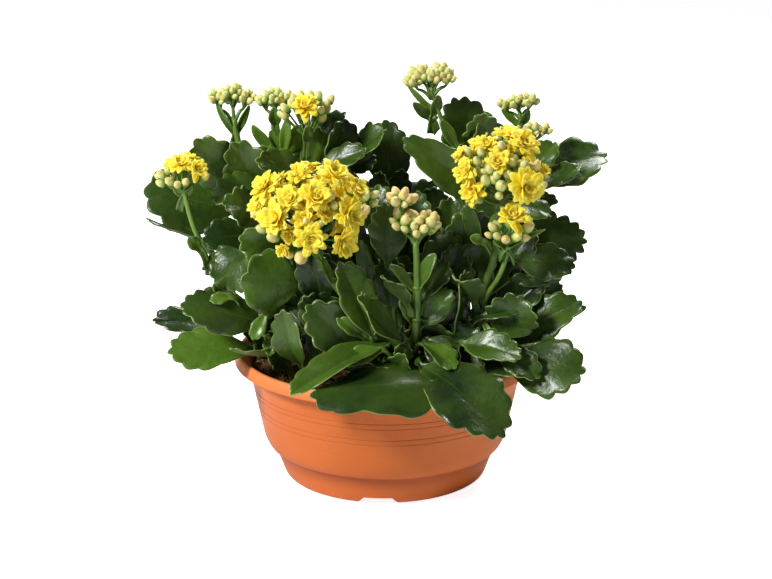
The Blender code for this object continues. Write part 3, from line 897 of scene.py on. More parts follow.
small_leaves("small_leaves_left", [
    ((-74, -30, 182), (-107, -46, 197), 34, (0, -1, 0.35), 0.30, 3.6),
    ((-92, 0, 222), (-129, -12, 217), 34, (-0.1, -1, 0.7), 0.20, 4.3),
    ((-101, -10, 190), (-136, -25, 190), 30, (0, -1, 0.4), 0.05, 3.6),
    ((-129, -5, 116), (-177, -4, 121), 26, (0, -0.6, 1), 0.0, 3.6),
    ((-84, -40, 118), (-106, -46, 128), 22, FRONT, 0.05, 3.6),
    ((-72, -50, 99), (-86, -60, 120), 22, FRONT, 0.05, 3.6),
    ((-112, -22, 172), (-136, -28, 168), 20, (0, -1, 0.3), 0.10, 3.6),
    ((-80, -40, 104), (-96, -52, 128), 24, (0, -1, 0.4), 0.05, 3.6),
    ((-137, -30, 184), (-145, -34, 194), 10, FRONT, 0.5, 0),
    ((-88, -60, 142), (-97, -66, 125), 12, FRONT, 0.5, 2.5),
    ((-86, -58, 124), (-84, -64, 112), 10, FRONT, 0.5, 2.5),
    ((-115, -55, 155), (-128, -60, 153), 10, FRONT, 0.6, 2.5),
    ((-120, -50, 157), (-126, -54, 164), 8, FRONT, 0.5, 0),
    ((-64, -10, 120), (-96, -20, 146), 34, (-0.3, -1, 0.5), 0.0, 3.6),
    ((-70, -6, 150), (-100, -14, 178), 34, (-0.3, -1, 0.5), 0.0, 3.6),
    ((-108, -10, 128), (-140, -20, 146), 30, (-0.2, -1, 0.6), 0.0, 3.6),
])
small_leaves("small_leaves_top_left", [
    ((-64, 16, 232), (-97, -6, 246), 28, (-0.1, -1, 0.6), 0.30, 3.6),
    ((-83, 10, 242), (-96, 4, 253), 14, FRONT, 0.35, 2.5),
    ((-83, 30, 242), (-100, 26, 266), 10, (-0.6, -1, 0.3), 0.55, 0),
    ((-81, 30, 242), (-87, 28, 261), 7, FRONT, 0.65, 0),
    ((-76, 32, 241), (-64, 30, 265), 14, (0.5, -1, 0.4), 0.75, 0),
    ((-51, 44, 242), (-30, 50, 271), 30, (-0.3, -0.7, 1), 0.05, 3.6),
    ((-31, 55, 228), (-31, 60, 256), 26, (0, -1, 0.3), 0.0, 3.6),
    ((-28, 46, 225), (-7, 48, 237), 18, FRONT, 0.0, 3.6),
    ((-51, 20, 231), (-14, 12, 250), 24, (-0.2, -0.8, 1), 0.10, 3.6),
    ((-50, 10, 196), (-70, -8, 226), 34, (-0.2, -1, 0.4), 0.10, 3.6),
    ((-30, 30, 200), (-36, 20, 240), 30, (-0.1, -1, 0.4), 0.0, 3.6),
    ((-77, 24, 244), (-73, 22, 272), 9, FRONT, 0.65, 0),
    ((-7, 40, 194), (-4, 44, 226), 20, FRONT, 0.0, 3.6),
    ((-56, 30, 226), (-50, 36, 262), 24, (0, -1, 0.3), 0.30, 3.6),
    ((-40, 34, 226), (-31, 40, 268), 34, (0.5, -1, 0.5), 0.0, 3.6),
    ((-66, 30, 222), (-62, 34, 252), 16, FRONT, 0.30, 3.6),
    ((-100, 28, 222), (-140, 40, 244), 30, (-0.2, -0.5, 1), 0.12, 3.6),
])
small_leaves("small_leaves_middle", [
    ((-4, -20, 188), (-5, -5, 227), 34, (0, -1, 0.35), 0.10, 3.6),
    ((22, 0, 186), (25, 5, 220), 26, FRONT, 0.05, 3.6),
    ((-10, -40, 148), (-18, -45, 195), 14, FRONT, 0.25, 2.5),
    ((5, -45, 142), (2, -40, 182), 30, FRONT, 0.0, 4.3),
    ((26, -55, 133), (49, -55, 160), 22, (-0.3, -1, 0.4), 0.25, 3.6),
    ((22, -56, 133), (11, -58, 162), 14, (0.2, -1, 0.4), 0.35, 3.5),
    ((45, -30, 141), (54, -28, 188), 34, (0.1, -1, 0.5), 0.0, 4.3),
    ((-30, -30, 140), (-44, -40, 190), 36, (0, -1, 0.4), 0.0, 4.3),
    ((-30, -30, 108), (-34, -46, 140), 34, (0, -1, 0.4), 0.0, 4.3),
    ((30, -30, 104), (34, -46, 138), 36, (0, -1, 0.4), 0.0, 4.3),
    ((-20, 0, 150), (-24, -10, 200), 40, (0, -1, 0.3), 0.0, 4.3),
    ((24, 10, 150), (30, 4, 204), 44, (0, -1, 0.3), 0.0, 4.3),
    ((-60, -20, 166), (-50, -22, 208), 46, (0, -1, 0.3), 0.0, 4.3),
    ((66, -58, 100), (96, -90, 106), 26, (0.3, -0.8, 1), 0.05, 4.3),
    ((-54, -56, 100), (-58, -62, 130), 15, FRONT, 0.0, 3.6),
    ((12, -70, 108), (14, -76, 127), 15, FRONT, 0.0, 3.6),
    ((8, -72, 102), (14, -88, 121), 20, FRONT, 0.05, 3.6),
    ((9, 60, 190), (13, 60, 224), 22, FRONT, 0.0, 3.6),
    ((52, -5, 164), (49, 10, 214), 40, (0, -1, 0.3), 0.0, 4.3),
    ((88, -10, 176), (76, 0, 224), 42, (0, -1, 0.3), 0.0, 4.3),
    ((28, -70, 123), (51, -92, 112), 24, (0.5, -0.5, 1), 0.50, 3.5),
    ((31, -60, 123), (53, -78, 108), 26, (0.3, -1, 0.7), 0.0, 3.6),
    ((-4, -80, 122), (-31, -90, 115), 16, (0, -0.8, 1), 0.65, 2.5),
    ((-17, -72, 131), (-35, -80, 146), 12, FRONT, 0.45, 2.5),
    ((-16, -52, 98), (-46, -84, 112), 34, (-0.2, -0.8, 1), 0.0, 4.3),
    ((-30, -48, 122), (-60, -62, 158), 36, (-0.2, -1, 0.5), 0.0, 4.3),
    ((2, -56, 98), (-12, -92, 116), 34, (-0.1, -1, 1), 0.0, 4.3),
    ((12, -60, 94), (22, -98, 100), 34, (0.2, -1, 1), 0.05, 4.3),
    ((40, -48, 98), (70, -84, 106), 38, (0.3, -1, 1), 0.0, 4.3),
    ((46, -50, 112), (71, -62, 128), 34, (0.2, -1, 0.7), 0.0, 4.3),
    ((-46, -50, 150), (-54, -52, 194), 34, (-0.1, -1, 0.3), 0.0, 4.3),
    ((56, -30, 150), (76, -30, 190), 34, (0, -1, 0.4), 0.0, 4.3),
    ((48, -44, 120), (44, -50, 160), 34, (0, -1, 0.4), 0.0, 4.3),
    ((-2, -60, 108), (6, -70, 140), 30, (0, -1, 0.5), 0.0, 4.3),
])
small_leaves("small_leaves_right", [
    ((70, -20, 184), (60, -22, 217), 14, (-0.8, -1, 0.3), 0.10, 3.5),
    ((71, -45, 194), (62, -48, 198), 8, FRONT, 0.5, 0),
    ((84, -66, 119), (71, -50, 135), 5, FRONT, 0.6, 0),
    ((70, -52, 138), (99, -56, 147), 16, (0, -0.6, 1), 0.15, 3.5),
    ((95, 5, 213), (124, -6, 202), 24, (0, -0.7, 1), 0.45, 3.6),
    ((102, 12, 207), (131, 14, 209), 20, (0, -0.8, 1), 0.15, 3.5),
    ((127, -25, 128), (150, -28, 139), 8, FRONT, 0.4, 0),
    ((109, -15, 140), (134, -8, 150), 20, FRONT, 0.05, 3.6),
    ((89, -20, 160), (138, -25, 170), 28, (0, -1, 0.5), 0.05, 4.3),
    ((114, 22, 216), (148, 24, 234), 20, (-0.2, -0.8, 0.8), 0.15, 3.6),
    ((114, -60, 119), (143, -66, 100), 30, (0.2, -1, 0.5), 0.0, 3.6),
    ((84, -70, 118), (112, -88, 104), 26, (0.2, -1, 0.5), 0.0, 3.6),
    ((110, -60, 110), (140, -62, 104), 20, FRONT, 0.10, 3.5),
    ((84, -20, 130), (118, -30, 160), 36, (0, -1, 0.5), 0.0, 4.3),
    ((80, -10, 160), (112, -18, 196), 36, (0, -1, 0.5), 0.0, 4.3),
    ((60, -10, 170), (66, -18, 212), 38, (0, -1, 0.4), 0.0, 4.3),
])
small_leaves("small_leaves_top_right", [
    ((110, 25, 227), (130, 35, 251), 24, (-0.3, -1, 0.5), 0.20, 3.6),
    ((53, 25, 250), (42, 24, 270), 9, FRONT, 0.35, 0),
    ((74, 40, 242), (75, 32, 274), 34, (0.1, -1, 0.5), 0.10, 3.6),
    ((70, 30, 240), (80, 38, 272), 20, (0.3, -1, 0.3), 0.10, 3.6),
    ((92, 44, 226), (112, 60, 256), 30, (0.2, -0.6, 1), 0.10, 3.6),
    ((60, 34, 210), (62, 30, 252), 40, (0, -1, 0.3), 0.0, 4.3),
])
small_leaves("small_leaves_back", [
    ((-10, 84, 140), (-44, 124, 156), 36, (-0.3, 0.8, 0.8), 0.10, 4.3),
    ((14, 84, 140), (48, 122, 158), 36, (0.3, 0.8, 0.8), 0.10, 4.3),
    ((10, 78, 176), (44, 98, 202), 34, (0.3, 0.8, 0.6), 0.15, 4.3),
    ((-2, 76, 176), (-32, 94, 198), 34, (-0.3, 0.8, 0.6), 0.15, 4.3),
    ((-60, 40, 186), (-70, 66, 224), 34, (-0.2, 1, 0.5), 0.15, 4.3),
    ((-90, 36, 206), (-124, 58, 230), 34, (-0.4, 0.8, 0.8), 0.15, 4.3),
    ((-80, 34, 122), (-128, 62, 132), 38, (-0.5, 0.7, 1), 0.10, 4.3),
    ((96, 30, 136), (142, 56, 146), 38, (0.5, 0.7, 1), 0.10, 4.3),
    ((70, 46, 196), (64, 74, 232), 36, (0, 1, 0.5), 0.15, 4.3),
    ((100, 44, 206), (136, 66, 226), 32, (0.4, 0.8, 0.8), 0.15, 4.3),
    ((40, 60, 128), (46, 106, 138), 38, (0.1, 0.9, 0.9), 0.10, 4.3),
    ((-40, 52, 132), (-52, 98, 150), 38, (-0.2, 0.9, 0.9), 0.10, 4.3),
    ((-20, 50, 176), (-30, 60, 220), 36, (0, 1, 0.3), 0.05, 4.3),
    ((36, 46, 170), (38, 60, 210), 36, (0, 1, 0.3), 0.05, 4.3),
    ((-30, 66, 100), (-62, 112, 105), 40, (-0.3, 0.7, 1), 0.10, 4.3),
    ((24, 70, 100), (54, 116, 106), 40, (0.3, 0.7, 1), 0.10, 4.3),
    ((60, 50, 118), (110, 86, 138), 38, (0.5, 0.8, 0.8), 0.08, 4.3),
    ((-66, 44, 112), (-112, 82, 128), 38, (-0.5, 0.8, 0.8), 0.08, 4.3),
    ((6, 60, 120), (14, 104, 146), 40, (0, 0.9, 0.8), 0.05, 4.3),
    ((-50, 44, 150), (-76, 88, 178), 38, (-0.3, 0.9, 0.7), 0.10, 4.3),
    ((46, 50, 140), (76, 92, 170), 38, (0.3, 0.9, 0.7), 0.10, 4.3),
    ((20, 62, 150), (22, 96, 186), 36, (0, 1, 0.5), 0.08, 4.3),
    ((84, 24, 110), (132, 30, 118), 38, (0.5, 0.1, 1), 0.08, 4.3),
    ((-86, 10, 108), (-134, 20, 116), 38, (-0.5, 0.1, 1), 0.08, 4.3),
] + leaf_pairs(
    ((3, 56, 102), 20, 44, 34, 18),
    ((5, 60, 138), 100, 40, 34, 30),
    ((7, 61, 168), 15, 42, 34, 35),
))
small_leaves("inner_leaves_left", leaf_pairs(
    ((-70, 16, 104), 120, 44, 34, 20),
    ((-78, 16, 136), 35, 46, 36, 25),
    ((-90, 19, 176), 115, 40, 34, 30),
    ((-45, 30, 106), 75, 44, 36, 25),
    ((-50, 30, 138), 165, 42, 36, 30),
    ((-66, 31, 192), 70, 40, 32, 30),
    ((-54, -34, 120), 150, 40, 34, 30),
    ((-84, -20, 126), 80, 36, 30, 35),
))
small_leaves("inner_leaves_right", leaf_pairs(
    ((67, 31, 106), 55, 44, 34, 20),
    ((72, 28, 132), 150, 46, 36, 25),
    ((78, 29, 162), 50, 42, 34, 30),
    ((84, 30, 192), 160, 38, 32, 30),
    ((66, -36, 108), 20, 44, 34, 30),
    ((70, -39, 146), 60, 36, 30, 40),
    ((22, -58, 150), 45, 34, 28, 45),
    ((20, -52, 104), 10, 40, 34, 25),
    ((20, 10, 120), 60, 50, 40, 45),
    ((-14, 0, 116), 120, 50, 40, 50),
))
for blank in BLANKS.values():
    bpy.data.objects.remove(blank, do_unlink=True)


# ------------------------------------------------------- the flower heads
# Branched heads of double flowers and round buds.  A flower is up to five
# rings of thin soft petals; a bud is a plump egg of folded petals in a green
# cup of sepals, on its own short stalk.
FLOWER_SEED = 41
GOLDEN_TURN = 2.39996
PETAL_BODY = 0.34
BENDS = 12
PETAL, BUD_SKIN, SEPAL, STALK = range(4)
# A ring is its count of petals, their length and width, and their lean and cup.
PETAL_RINGS = [
    (9, 10.8, 4.9, 88, 0.18),
    (9, 10.2, 4.8, 72, 0.28),
    (8, 9.0, 4.6, 56, 0.36),
    (7, 7.6, 4.2, 38, 0.45),
    (5, 6.0, 3.6, 18, 0.5),
]
OPENNESS = (1.0, 0.92, 0.82, 0.55)
SIMPLE_FLOWER = len(OPENNESS)
SIMPLE_OPENNESS = 0.95
SIMPLE_RINGS = 2
SIMPLE_ACROSS = 14.0
PATTERN_ACROSS = 20.0
PETAL_OVERHANG = 1.28
BALL_FLAT = 0.75
BALL_LOW = -0.35
FILLING_LOW = -0.6

PETAL_LEMON = (0.99, 0.79, 0.045)
PETAL_GOLD = (0.98, 0.65, 0.010)
FOOT_ORANGE = (0.93, 0.48, 0.006)
# Painted highlight on the petal tips.
PETAL_TIP_HIGHLIGHT = (1.0, 0.88, 0.16)
VEIN_LEMON = (1.0, 0.84, 0.20)
BUD_GREEN = (0.62, 0.66, 0.22)
BUD_PEACH = (0.86, 0.52, 0.20)
BUD_PALE = (0.88, 0.84, 0.40)
BUD_FOOT_GREEN = (0.24, 0.38, 0.05)
SEPAL_DEEP = (0.13, 0.27, 0.03)
SEPAL_FRESH = (0.28, 0.46, 0.07)

petal_yellow = Finish("petals", {
    "Subsurface Weight": 0.38,
    "Subsurface Radius": (0.004, 0.003, 0.0006),
    "Subsurface Scale": 0.5,
    "Specular IOR Level": 0.25,
})
petal_vein = petal_yellow.cloud(1.0, 2.0, 0.6, petal_yellow.stretched(700.0, 700.0, 700.0))
petal_out = petal_yellow.kept("outward")
petal_foot = 1.0 - petal_out.rising(0.05, 0.6)
petal_colour = petal_yellow.blend(petal_yellow.kept("shade"), PETAL_LEMON, PETAL_GOLD)
petal_colour = petal_yellow.blend(petal_foot * 0.7, petal_colour, FOOT_ORANGE)
# Painted highlight: the petal tips are lightened towards pale lemon.
petal_colour = petal_yellow.blend(petal_out.rising(0.72, 1.0) * 0.55, petal_colour, PETAL_TIP_HIGHLIGHT)
petal_colour = petal_yellow.blend(petal_vein.rising(0.5, 0.75) * 0.18, petal_colour, VEIN_LEMON)
petal_yellow.paint(petal_colour, 0.50 + petal_vein * 0.15, petal_vein * 0.00012)

bud_cream = Finish("buds", {
    "Subsurface Weight": 0.12,
    "Subsurface Radius": (0.003, 0.002, 0.001),
    "Subsurface Scale": 0.5,
    "Specular IOR Level": 0.45,
})
bud_mottle = bud_cream.cloud(500.0, 3.0)
bud_out = bud_cream.kept("outward")
bud_foot = 1.0 - bud_out.rising(0.12, 0.62)
bud_colour = bud_cream.blend(bud_cream.kept("shade"), BUD_GREEN, BUD_PEACH)
bud_colour = bud_cream.blend(bud_mottle.rising(0.35, 0.7) * 0.4, bud_colour, BUD_PALE)
bud_colour = bud_cream.blend(bud_foot * 0.85, bud_colour, BUD_FOOT_GREEN)
bud_cream.paint(bud_colour, 0.45 + bud_mottle * 0.12, bud_mottle * 0.0001)

sepal_green = Finish("sepals", {"Specular IOR Level": 0.4})
sepal_mottle = sepal_green.cloud(260.0, 3.0)
sepal_colour = sepal_green.blend(sepal_mottle.rising(0.3, 0.7), SEPAL_DEEP, SEPAL_FRESH)
sepal_green.paint(sepal_colour, 0.42 + sepal_mottle * 0.14, sepal_mottle * 0.0001)


class Bunch:
    """Many small shapes gathered into one piece, each with its place and shade."""

    def __init__(self):
        self.points, self.faces, self.finishes = [], [], []
        self.shades, self.outwards = [], []

    def add(self, shape, place, finish, shade):
        """Add one copy of a pattern shape under the matrix place."""
        points, faces, outwards = shape
        start = len(self.points)
        self.points += [place @ point for point in points]
        self.faces += [[start + corner for corner in face] for face in faces]
        self.finishes += [finish] * len(faces)
        self.shades += [shade] * len(points)
        self.outwards += outwards

    def stalk(self, start, bend, end, radius_start, radius_end, sides=6, rings=5):
        """A thin curved stalk from start to end, bowed towards bend."""
        first = len(self.points)
        for ring in range(rings):
            share = ring / (rings - 1)
            centre = start.lerp(bend, share).lerp(bend.lerp(end, share), share)
            ahead = ((bend - start) * (1.0 - share) + (end - bend) * share).normalized()
            if ring == 0:
                left = ahead.orthogonal().normalized()
            else:
                left = (left - ahead * left.dot(ahead)).normalized()
            other = ahead.cross(left)
            radius = radius_start + (radius_end - radius_start) * share
            for corner in range(sides):
                angle = math.tau * corner / sides
                self.points.append(centre + (left * math.cos(angle) + other * math.sin(angle)) * radius)
        for ring in range(rings - 1):
            for corner in range(sides):
                here = first + ring * sides
                above = here + sides
                after = (corner + 1) % sides
                self.faces.append([here + corner, here + after, above + after, above + corner])
        last = first + (rings - 1) * sides
        self.faces.append([first + corner for corner in reversed(range(sides))])
        self.faces.append([last + corner for corner in range(sides)])
        made = (rings - 1) * sides + 2
        self.finishes += [STALK] * made
        self.shades += [0.5] * (rings * sides)
        self.outwards += [0.5] * (rings * sides)

    def make(self, name):
        """Turn the bunch, so far in millimetres, into one object."""
        mesh = bpy.data.meshes.new(name)
        mesh.from_pydata([point * MM for point in self.points], [], self.faces)
        mesh.polygons.foreach_set("material_index", self.finishes)
        keep(mesh, "shade", self.shades)
        keep(mesh, "outward", self.outwards)
        thing = new_object(name, mesh, petal_yellow, bud_cream, sepal_green, stem_green)
        pick(thing)
        bpy.ops.object.shade_smooth()
        return thing


def taken(thing, outward):
    """The points, faces and outward shares of a pattern object, which is then removed."""
    points = [point.co.copy() for point in thing.data.vertices]
    faces = [list(face.vertices) for face in thing.data.polygons]
    outwards = [outward(point) for point in points]
    bpy.data.objects.remove(thing, do_unlink=True)
    return points, faces, outwards


def petal_shape(length, width, lean, cup, curl):
    """One petal in millimetres: it grows up the flower's axis and leans outwards."""
    deselect_all()
    bpy.ops.mesh.primitive_grid_add(x_subdivisions=3, y_subdivisions=5, size=2.0)
    petal = bpy.context.object
    for point in petal.data.vertices:
        across = point.co.x
        share = (point.co.y + 1.0) / 2.0
        radius, rise = 0.6, 0.0
        for bend in range(BENDS):
            part = share * (bend + 0.5) / BENDS
            angle = math.radians(lean * (0.45 + 0.65 * part) + curl * part * part)
            radius += length * share / BENDS * math.sin(angle)
            rise += length * share / BENDS * math.cos(angle)
        here = math.radians(lean * (0.45 + 0.65 * share) + curl * share * share)
        half = width / 2.0 * (0.30 + 0.70 * math.sin(math.pi * min(1.0, 0.08 + 0.62 * share)))
        half *= math.sqrt(max(0.0, 1.0 - max(0.0, (share - 0.55) / 0.47) ** 2.4))
        lift = cup * across * across * half
        point.co = (across * half, radius - lift * math.cos(here), rise + lift * math.sin(here))
    pick(petal)
    thick = petal.modifiers.new("thick", "SOLIDIFY")
    thick.thickness = PETAL_BODY
    thick.offset = 0.0
    bpy.ops.object.modifier_apply(modifier=thick.name)
    return taken(petal, lambda point: min(1.0, math.hypot(point.y, point.z) / length))


def double_flower(dice, openness, depth=len(PETAL_RINGS)):
    """The outermost rings of petals about the flower's axis, up to depth rings."""
    parts = []
    for number, (count, length, width, lean, cup) in enumerate(PETAL_RINGS[:depth]):
        shape = petal_shape(length, width, lean * openness, cup, 14.0 - 8.0 * number)
        for petal in range(count):
            turn = math.tau * (petal + 0.5 * (number % 2)) / count + dice.uniform(-0.25, 0.25)
            tip = Matrix.Rotation(math.radians(dice.uniform(-19.0, 17.0)), 4, "X")
            size = dice.uniform(0.82, 1.14)
            place = Matrix.Rotation(turn, 4, "Z") @ tip @ Matrix.Scale(size, 4)
            parts.append((shape, place, number))
    return parts


def bud_shape():
    """A plump folded bud, 2 units across and 2.6 tall, standing on its foot."""
    deselect_all()
    bpy.ops.mesh.primitive_uv_sphere_add(segments=10, ring_count=7, radius=1.0)
    bud = bpy.context.object
    for point in bud.data.vertices:
        angle = math.atan2(point.co.y, point.co.x)
        high = point.co.z
        swell = 1.0 + 0.09 * math.cos(5.0 * angle + 1.5 * high) * (1.0 - high * high)
        swell *= 1.0 - 0.20 * max(0.0, high)
        tall = 1.50 if high > 0 else 1.05
        point.co = (point.co.x * swell, point.co.y * swell, high * tall + 1.05)
    return taken(bud, lambda point: point.z / 2.55)


def cup_shape():
    """Four sepals grown together round the foot of a bud of 2 units."""
    deselect_all()
    bpy.ops.mesh.primitive_uv_sphere_add(segments=8, ring_count=5, radius=1.0)
    cup = bpy.context.object
    for point in cup.data.vertices:
        angle = math.atan2(point.co.y, point.co.x)
        high = point.co.z
        tip = 0.34 * math.cos(4.0 * angle) if 0.1 < high < 0.95 else 0.0
        spread = 1.07 if high < 0.5 else 1.01
        point.co = (point.co.x * spread, point.co.y * spread, 0.62 * high + 0.45 + tip)
    return taken(cup, lambda point: 0.5)


flower_dice = random.Random(FLOWER_SEED)
FLOWERS = [double_flower(flower_dice, openness) for openness in OPENNESS]
FLOWERS.append(double_flower(flower_dice, SIMPLE_OPENNESS, SIMPLE_RINGS))
BUD = bud_shape()
CUP = cup_shape()


def standing(place, direction, turn, size):
    """The frame of a shape that stands at place and points along direction."""
    facing = Vector(direction).to_track_quat("Z", "Y").to_matrix().to_4x4()
    about = Matrix.Rotation(turn, 4, "Z")
    return Matrix.Translation(place) @ facing @ about @ Matrix.Scale(size, 4)


def put_flower(bunch, fork, place, direction, across, style):
    """An open flower that faces along direction, on its cup and stalk."""
    fork, place, direction = Vector(fork), Vector(place), Vector(direction).normalized()
    size = across / PATTERN_ACROSS * PETAL_OVERHANG
    spot = standing(place, direction, flower_dice.uniform(0.0, 6.3), size)
    flower_shade = flower_dice.uniform(0.0, 0.55)
    for shape, petal_place, ring in FLOWERS[style]:
        shade = flower_shade + 0.09 * ring + flower_dice.uniform(-0.1, 0.1)
        bunch.add(shape, spot @ petal_place, PETAL, min(1.0, shade))
    foot = standing(place - direction * 2.2 * size, direction, 0.0, 2.6 * size)
    bunch.add(CUP, foot, SEPAL, 0.5)
    bunch.stalk(fork, fork.lerp(place, 0.5) + UP, place - direction * 2.0 * size, 1.1, 0.9)


def put_bud(bunch, fork, place, direction, across, shade):
    """A bud that points along direction, on its cup and stalk."""
    fork, place, direction = Vector(fork), Vector(place), Vector(direction).normalized()
    size = across / 2.0
    foot = place - direction * size
    spot = standing(foot, direction, flower_dice.uniform(0.0, 6.3), size)
    bunch.add(BUD, spot, BUD_SKIN, shade)
    bunch.add(CUP, spot, SEPAL, 0.5)
    bunch.stalk(fork, fork.lerp(foot, 0.55) - direction, foot, 0.9, 0.6, 5, 4)


def bud_ball(bunch, fork, centre, radius, count, across, peach):
    """A tight flattened ball of buds about centre, all on stalks from one fork."""
    centre = Vector(centre)
    for number in range(count):
        high = 1.0 - (1.0 - BALL_LOW) * (number + 0.5) / count
        ring = math.sqrt(max(0.0, 1.0 - high * high))
        angle = GOLDEN_TURN * number + flower_dice.uniform(-0.25, 0.25)
        way = Vector((ring * math.cos(angle), ring * math.sin(angle), high * BALL_FLAT))
        reach = radius * flower_dice.uniform(0.86, 1.10)
        lean = (way + UP * 0.55).normalized()
        shade = min(1.0, max(0.0, flower_dice.gauss(peach, 0.22)))
        size = across * flower_dice.uniform(0.78, 1.22)
        put_bud(bunch, fork, centre + way * reach, lean, size, shade)


def finish_head(bunch, name, node):
    """Make the bunch one piece that stands for the plain head of that node."""
    head = bunch.make(name)
    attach(head, "root")
    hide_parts(node)


def open_head(name, node, foot, core, flowers, buds, balls=(), filling=None):
    """A head with open flowers: each flower and bud faces away from the core.

    A flower is its place, width and style, and a bud its place, width and
    share of peach.  balls are tight balls of buds, and filling is the middle,
    half widths and count of the simple flowers behind the others.
    """
    bunch = Bunch()
    foot, core = Vector(foot), Vector(core)
    for place, across, style in flowers:
        place = Vector(place)
        way = (place - core).normalized()
        fork = foot.lerp(place, 0.35)
        bunch.stalk(foot, foot.lerp(fork, 0.5) + UP, fork, 1.5, 1.1)
        put_flower(bunch, fork, place, way, across, style)
    for place, across, shade in buds:
        place = Vector(place)
        way = (place - core).normalized() + UP * 0.35
        fork = foot.lerp(place, 0.45)
        bunch.stalk(foot, foot.lerp(fork, 0.5) + UP, fork, 1.3, 0.9)
        put_bud(bunch, fork, place, way, across, shade)
    for centre, radius, count, across, peach in balls:
        fork = foot.lerp(Vector(centre), 0.5)
        bunch.stalk(foot, foot.lerp(fork, 0.5) + UP, fork, 1.6, 1.2)
        bud_ball(bunch, fork, centre, radius, count, across, peach)
    if filling:
        middle, halves, count = filling
        for number in range(count):
            high = 1.0 - (1.0 - FILLING_LOW) * (number + 0.5) / count
            ring = math.sqrt(1.0 - high * high)
            angle = GOLDEN_TURN * number
            way = Vector((
                ring * math.cos(angle) * halves[0],
                ring * math.sin(angle) * halves[1],
                high * halves[2],
            ))
            fork = foot.lerp(Vector(middle), 0.5)
            put_flower(bunch, fork, Vector(middle) + way, way, SIMPLE_ACROSS, SIMPLE_FLOWER)
    finish_head(bunch, name, node)


open_head(
    "big_left_flowers", "head_big_left", (-53, -60, 200), (-55, -48, 208),
    flowers=[
        ((-84, -70, 239), 20, 0), ((-66, -80, 233), 19, 1), ((-37, -70, 247), 22, 0),
        ((-49, -82, 234), 21, 1), ((-24, -70, 237), 18, 1), ((-28, -78, 221), 22, 0),
        ((-75, -80, 220), 23, 1), ((-88, -70, 226), 15, 2), ((-52, -84, 208), 21, 2),
        ((-33, -78, 203), 20, 1), ((-71, -76, 198), 12, 3), ((-66, -78, 209), 14, 3),
        ((-60, -64, 246), 16, 2), ((-57, -82, 221), 16, 2), ((-44, -80, 224), 14, 2),
        ((-54, -70, 228), 18, 1), ((-77, -48, 236), 19, 0), ((-57, -44, 243), 20, 1),
        ((-38, -48, 240), 20, 0), ((-24, -52, 222), 18, 1), ((-84, -48, 218), 18, 1),
        ((-60, -38, 228), 20, 0), ((-40, -40, 222), 19, 2),
    ],
    buds=[
        ((-78, -80, 232), 7, 0.1), ((-38, -80, 236), 6, 0.3), ((-36, -82, 230), 6, 0.3),
        ((-15, -72, 234), 7, 0.1), ((-8, -66, 234), 6, 0.0), ((-8, -66, 228), 5.5, 0.0),
        ((-16, -74, 224), 9, 0.6), ((-92, -72, 221), 7, 0.1), ((-88, -74, 211), 7, 0.1),
        ((-80, -78, 206), 8, 0.3), ((-60, -82, 192), 10, 0.7), ((-68, -78, 193), 6, 0.4),
        ((-56, -86, 220), 6, 0.2), ((-46, -84, 218), 6, 0.0),
    ],
    filling=((-54, -62, 222), (27, 15, 19), 22),
)
open_head(
    "big_right_flowers", "head_big_right", (85, -36, 224), (84, -24, 234),
    flowers=[
        ((60, -52, 248), 17, 1), ((65, -52, 234), 18, 2), ((81, -56, 255), 17, 2),
        ((98, -46, 265), 20, 0), ((74, -46, 265), 13, 2), ((99, -62, 239), 23, 0),
        ((112, -44, 246), 11, 3), ((56, -44, 257), 12, 2), ((88, -34, 268), 16, 1),
        ((70, -26, 258), 18, 0), ((100, -24, 258), 18, 1), ((86, -16, 250), 18, 0),
        ((66, -26, 242), 16, 1), ((106, -28, 242), 16, 1),
    ],
    buds=[
        ((69, -52, 262), 6.5, 0.1), ((66, -54, 256), 6.5, 0.1), ((75, -58, 251), 7, 0.1),
        ((80, -60, 247), 6.5, 0.1), ((72, -58, 243), 8, 0.05), ((83, -62, 240), 8.5, 0.05),
        ((91, -58, 256), 6.5, 0.2), ((99, -56, 253), 8.5, 0.2), ((107, -50, 252), 8, 0.5),
        ((83, -50, 265), 8, 0.2), ((82, -56, 231), 6.5, 0.1), ((112, -50, 237), 8.5, 0.1),
        ((109, -48, 230), 6.5, 0.5), ((60, -46, 261), 6.5, 0.2), ((88, -60, 248), 7, 0.2),
        ((69, -42, 224), 5, 0.0),
    ],
    balls=[((83, -43, 246), 13.5, 30, 7.2, 0.1)],
    filling=((84, -34, 248), (20, 12, 14), 12),
)
open_head(
    "left_flowers", "head_left", (-149, -20, 224), (-149, -14, 230),
    flowers=[
        ((-149, -26, 246), 15, 0), ((-139, -26, 242), 15, 1), ((-156, -22, 245), 10, 2),
        ((-145, -12, 245), 14, 1),
    ],
    buds=[
        ((-165, -22, 232), 6, 0.2), ((-158, -28, 235), 6.5, 0.2), ((-152, -30, 233), 6, 0.3),
        ((-133, -20, 236), 6, 0.3), ((-164, -24, 239), 6.5, 0.1), ((-146, -30, 235), 6, 0.4),
        ((-167, -18, 236), 5, 0.1), ((-160, -14, 240), 6, 0.2), ((-138, -12, 238), 6, 0.2),
        ((-150, -8, 240), 6.5, 0.2), ((-156, -10, 234), 6, 0.2), ((-143, -8, 234), 6, 0.2),
    ],
)
open_head(
    "small_right_flowers", "head_small_right", (89, -53, 194), (89, -50, 200),
    flowers=[
        ((91, -57, 212), 22, 1), ((96, -48, 210), 14, 2),
    ],
    buds=[
        ((78, -58, 208), 7, 0.1), ((75, -57, 202), 5, 0.6), ((81, -60, 202), 6, 0.2),
        ((87, -62, 200), 7, 0.7), ((95, -62, 202), 7, 0.3), ((101, -58, 200), 6, 0.4),
        ((103, -56, 207), 8, 0.3), ((82, -46, 206), 6.5, 0.2), ((98, -44, 202), 6.5, 0.2),
        ((89, -42, 204), 6.5, 0.2),
    ],
)
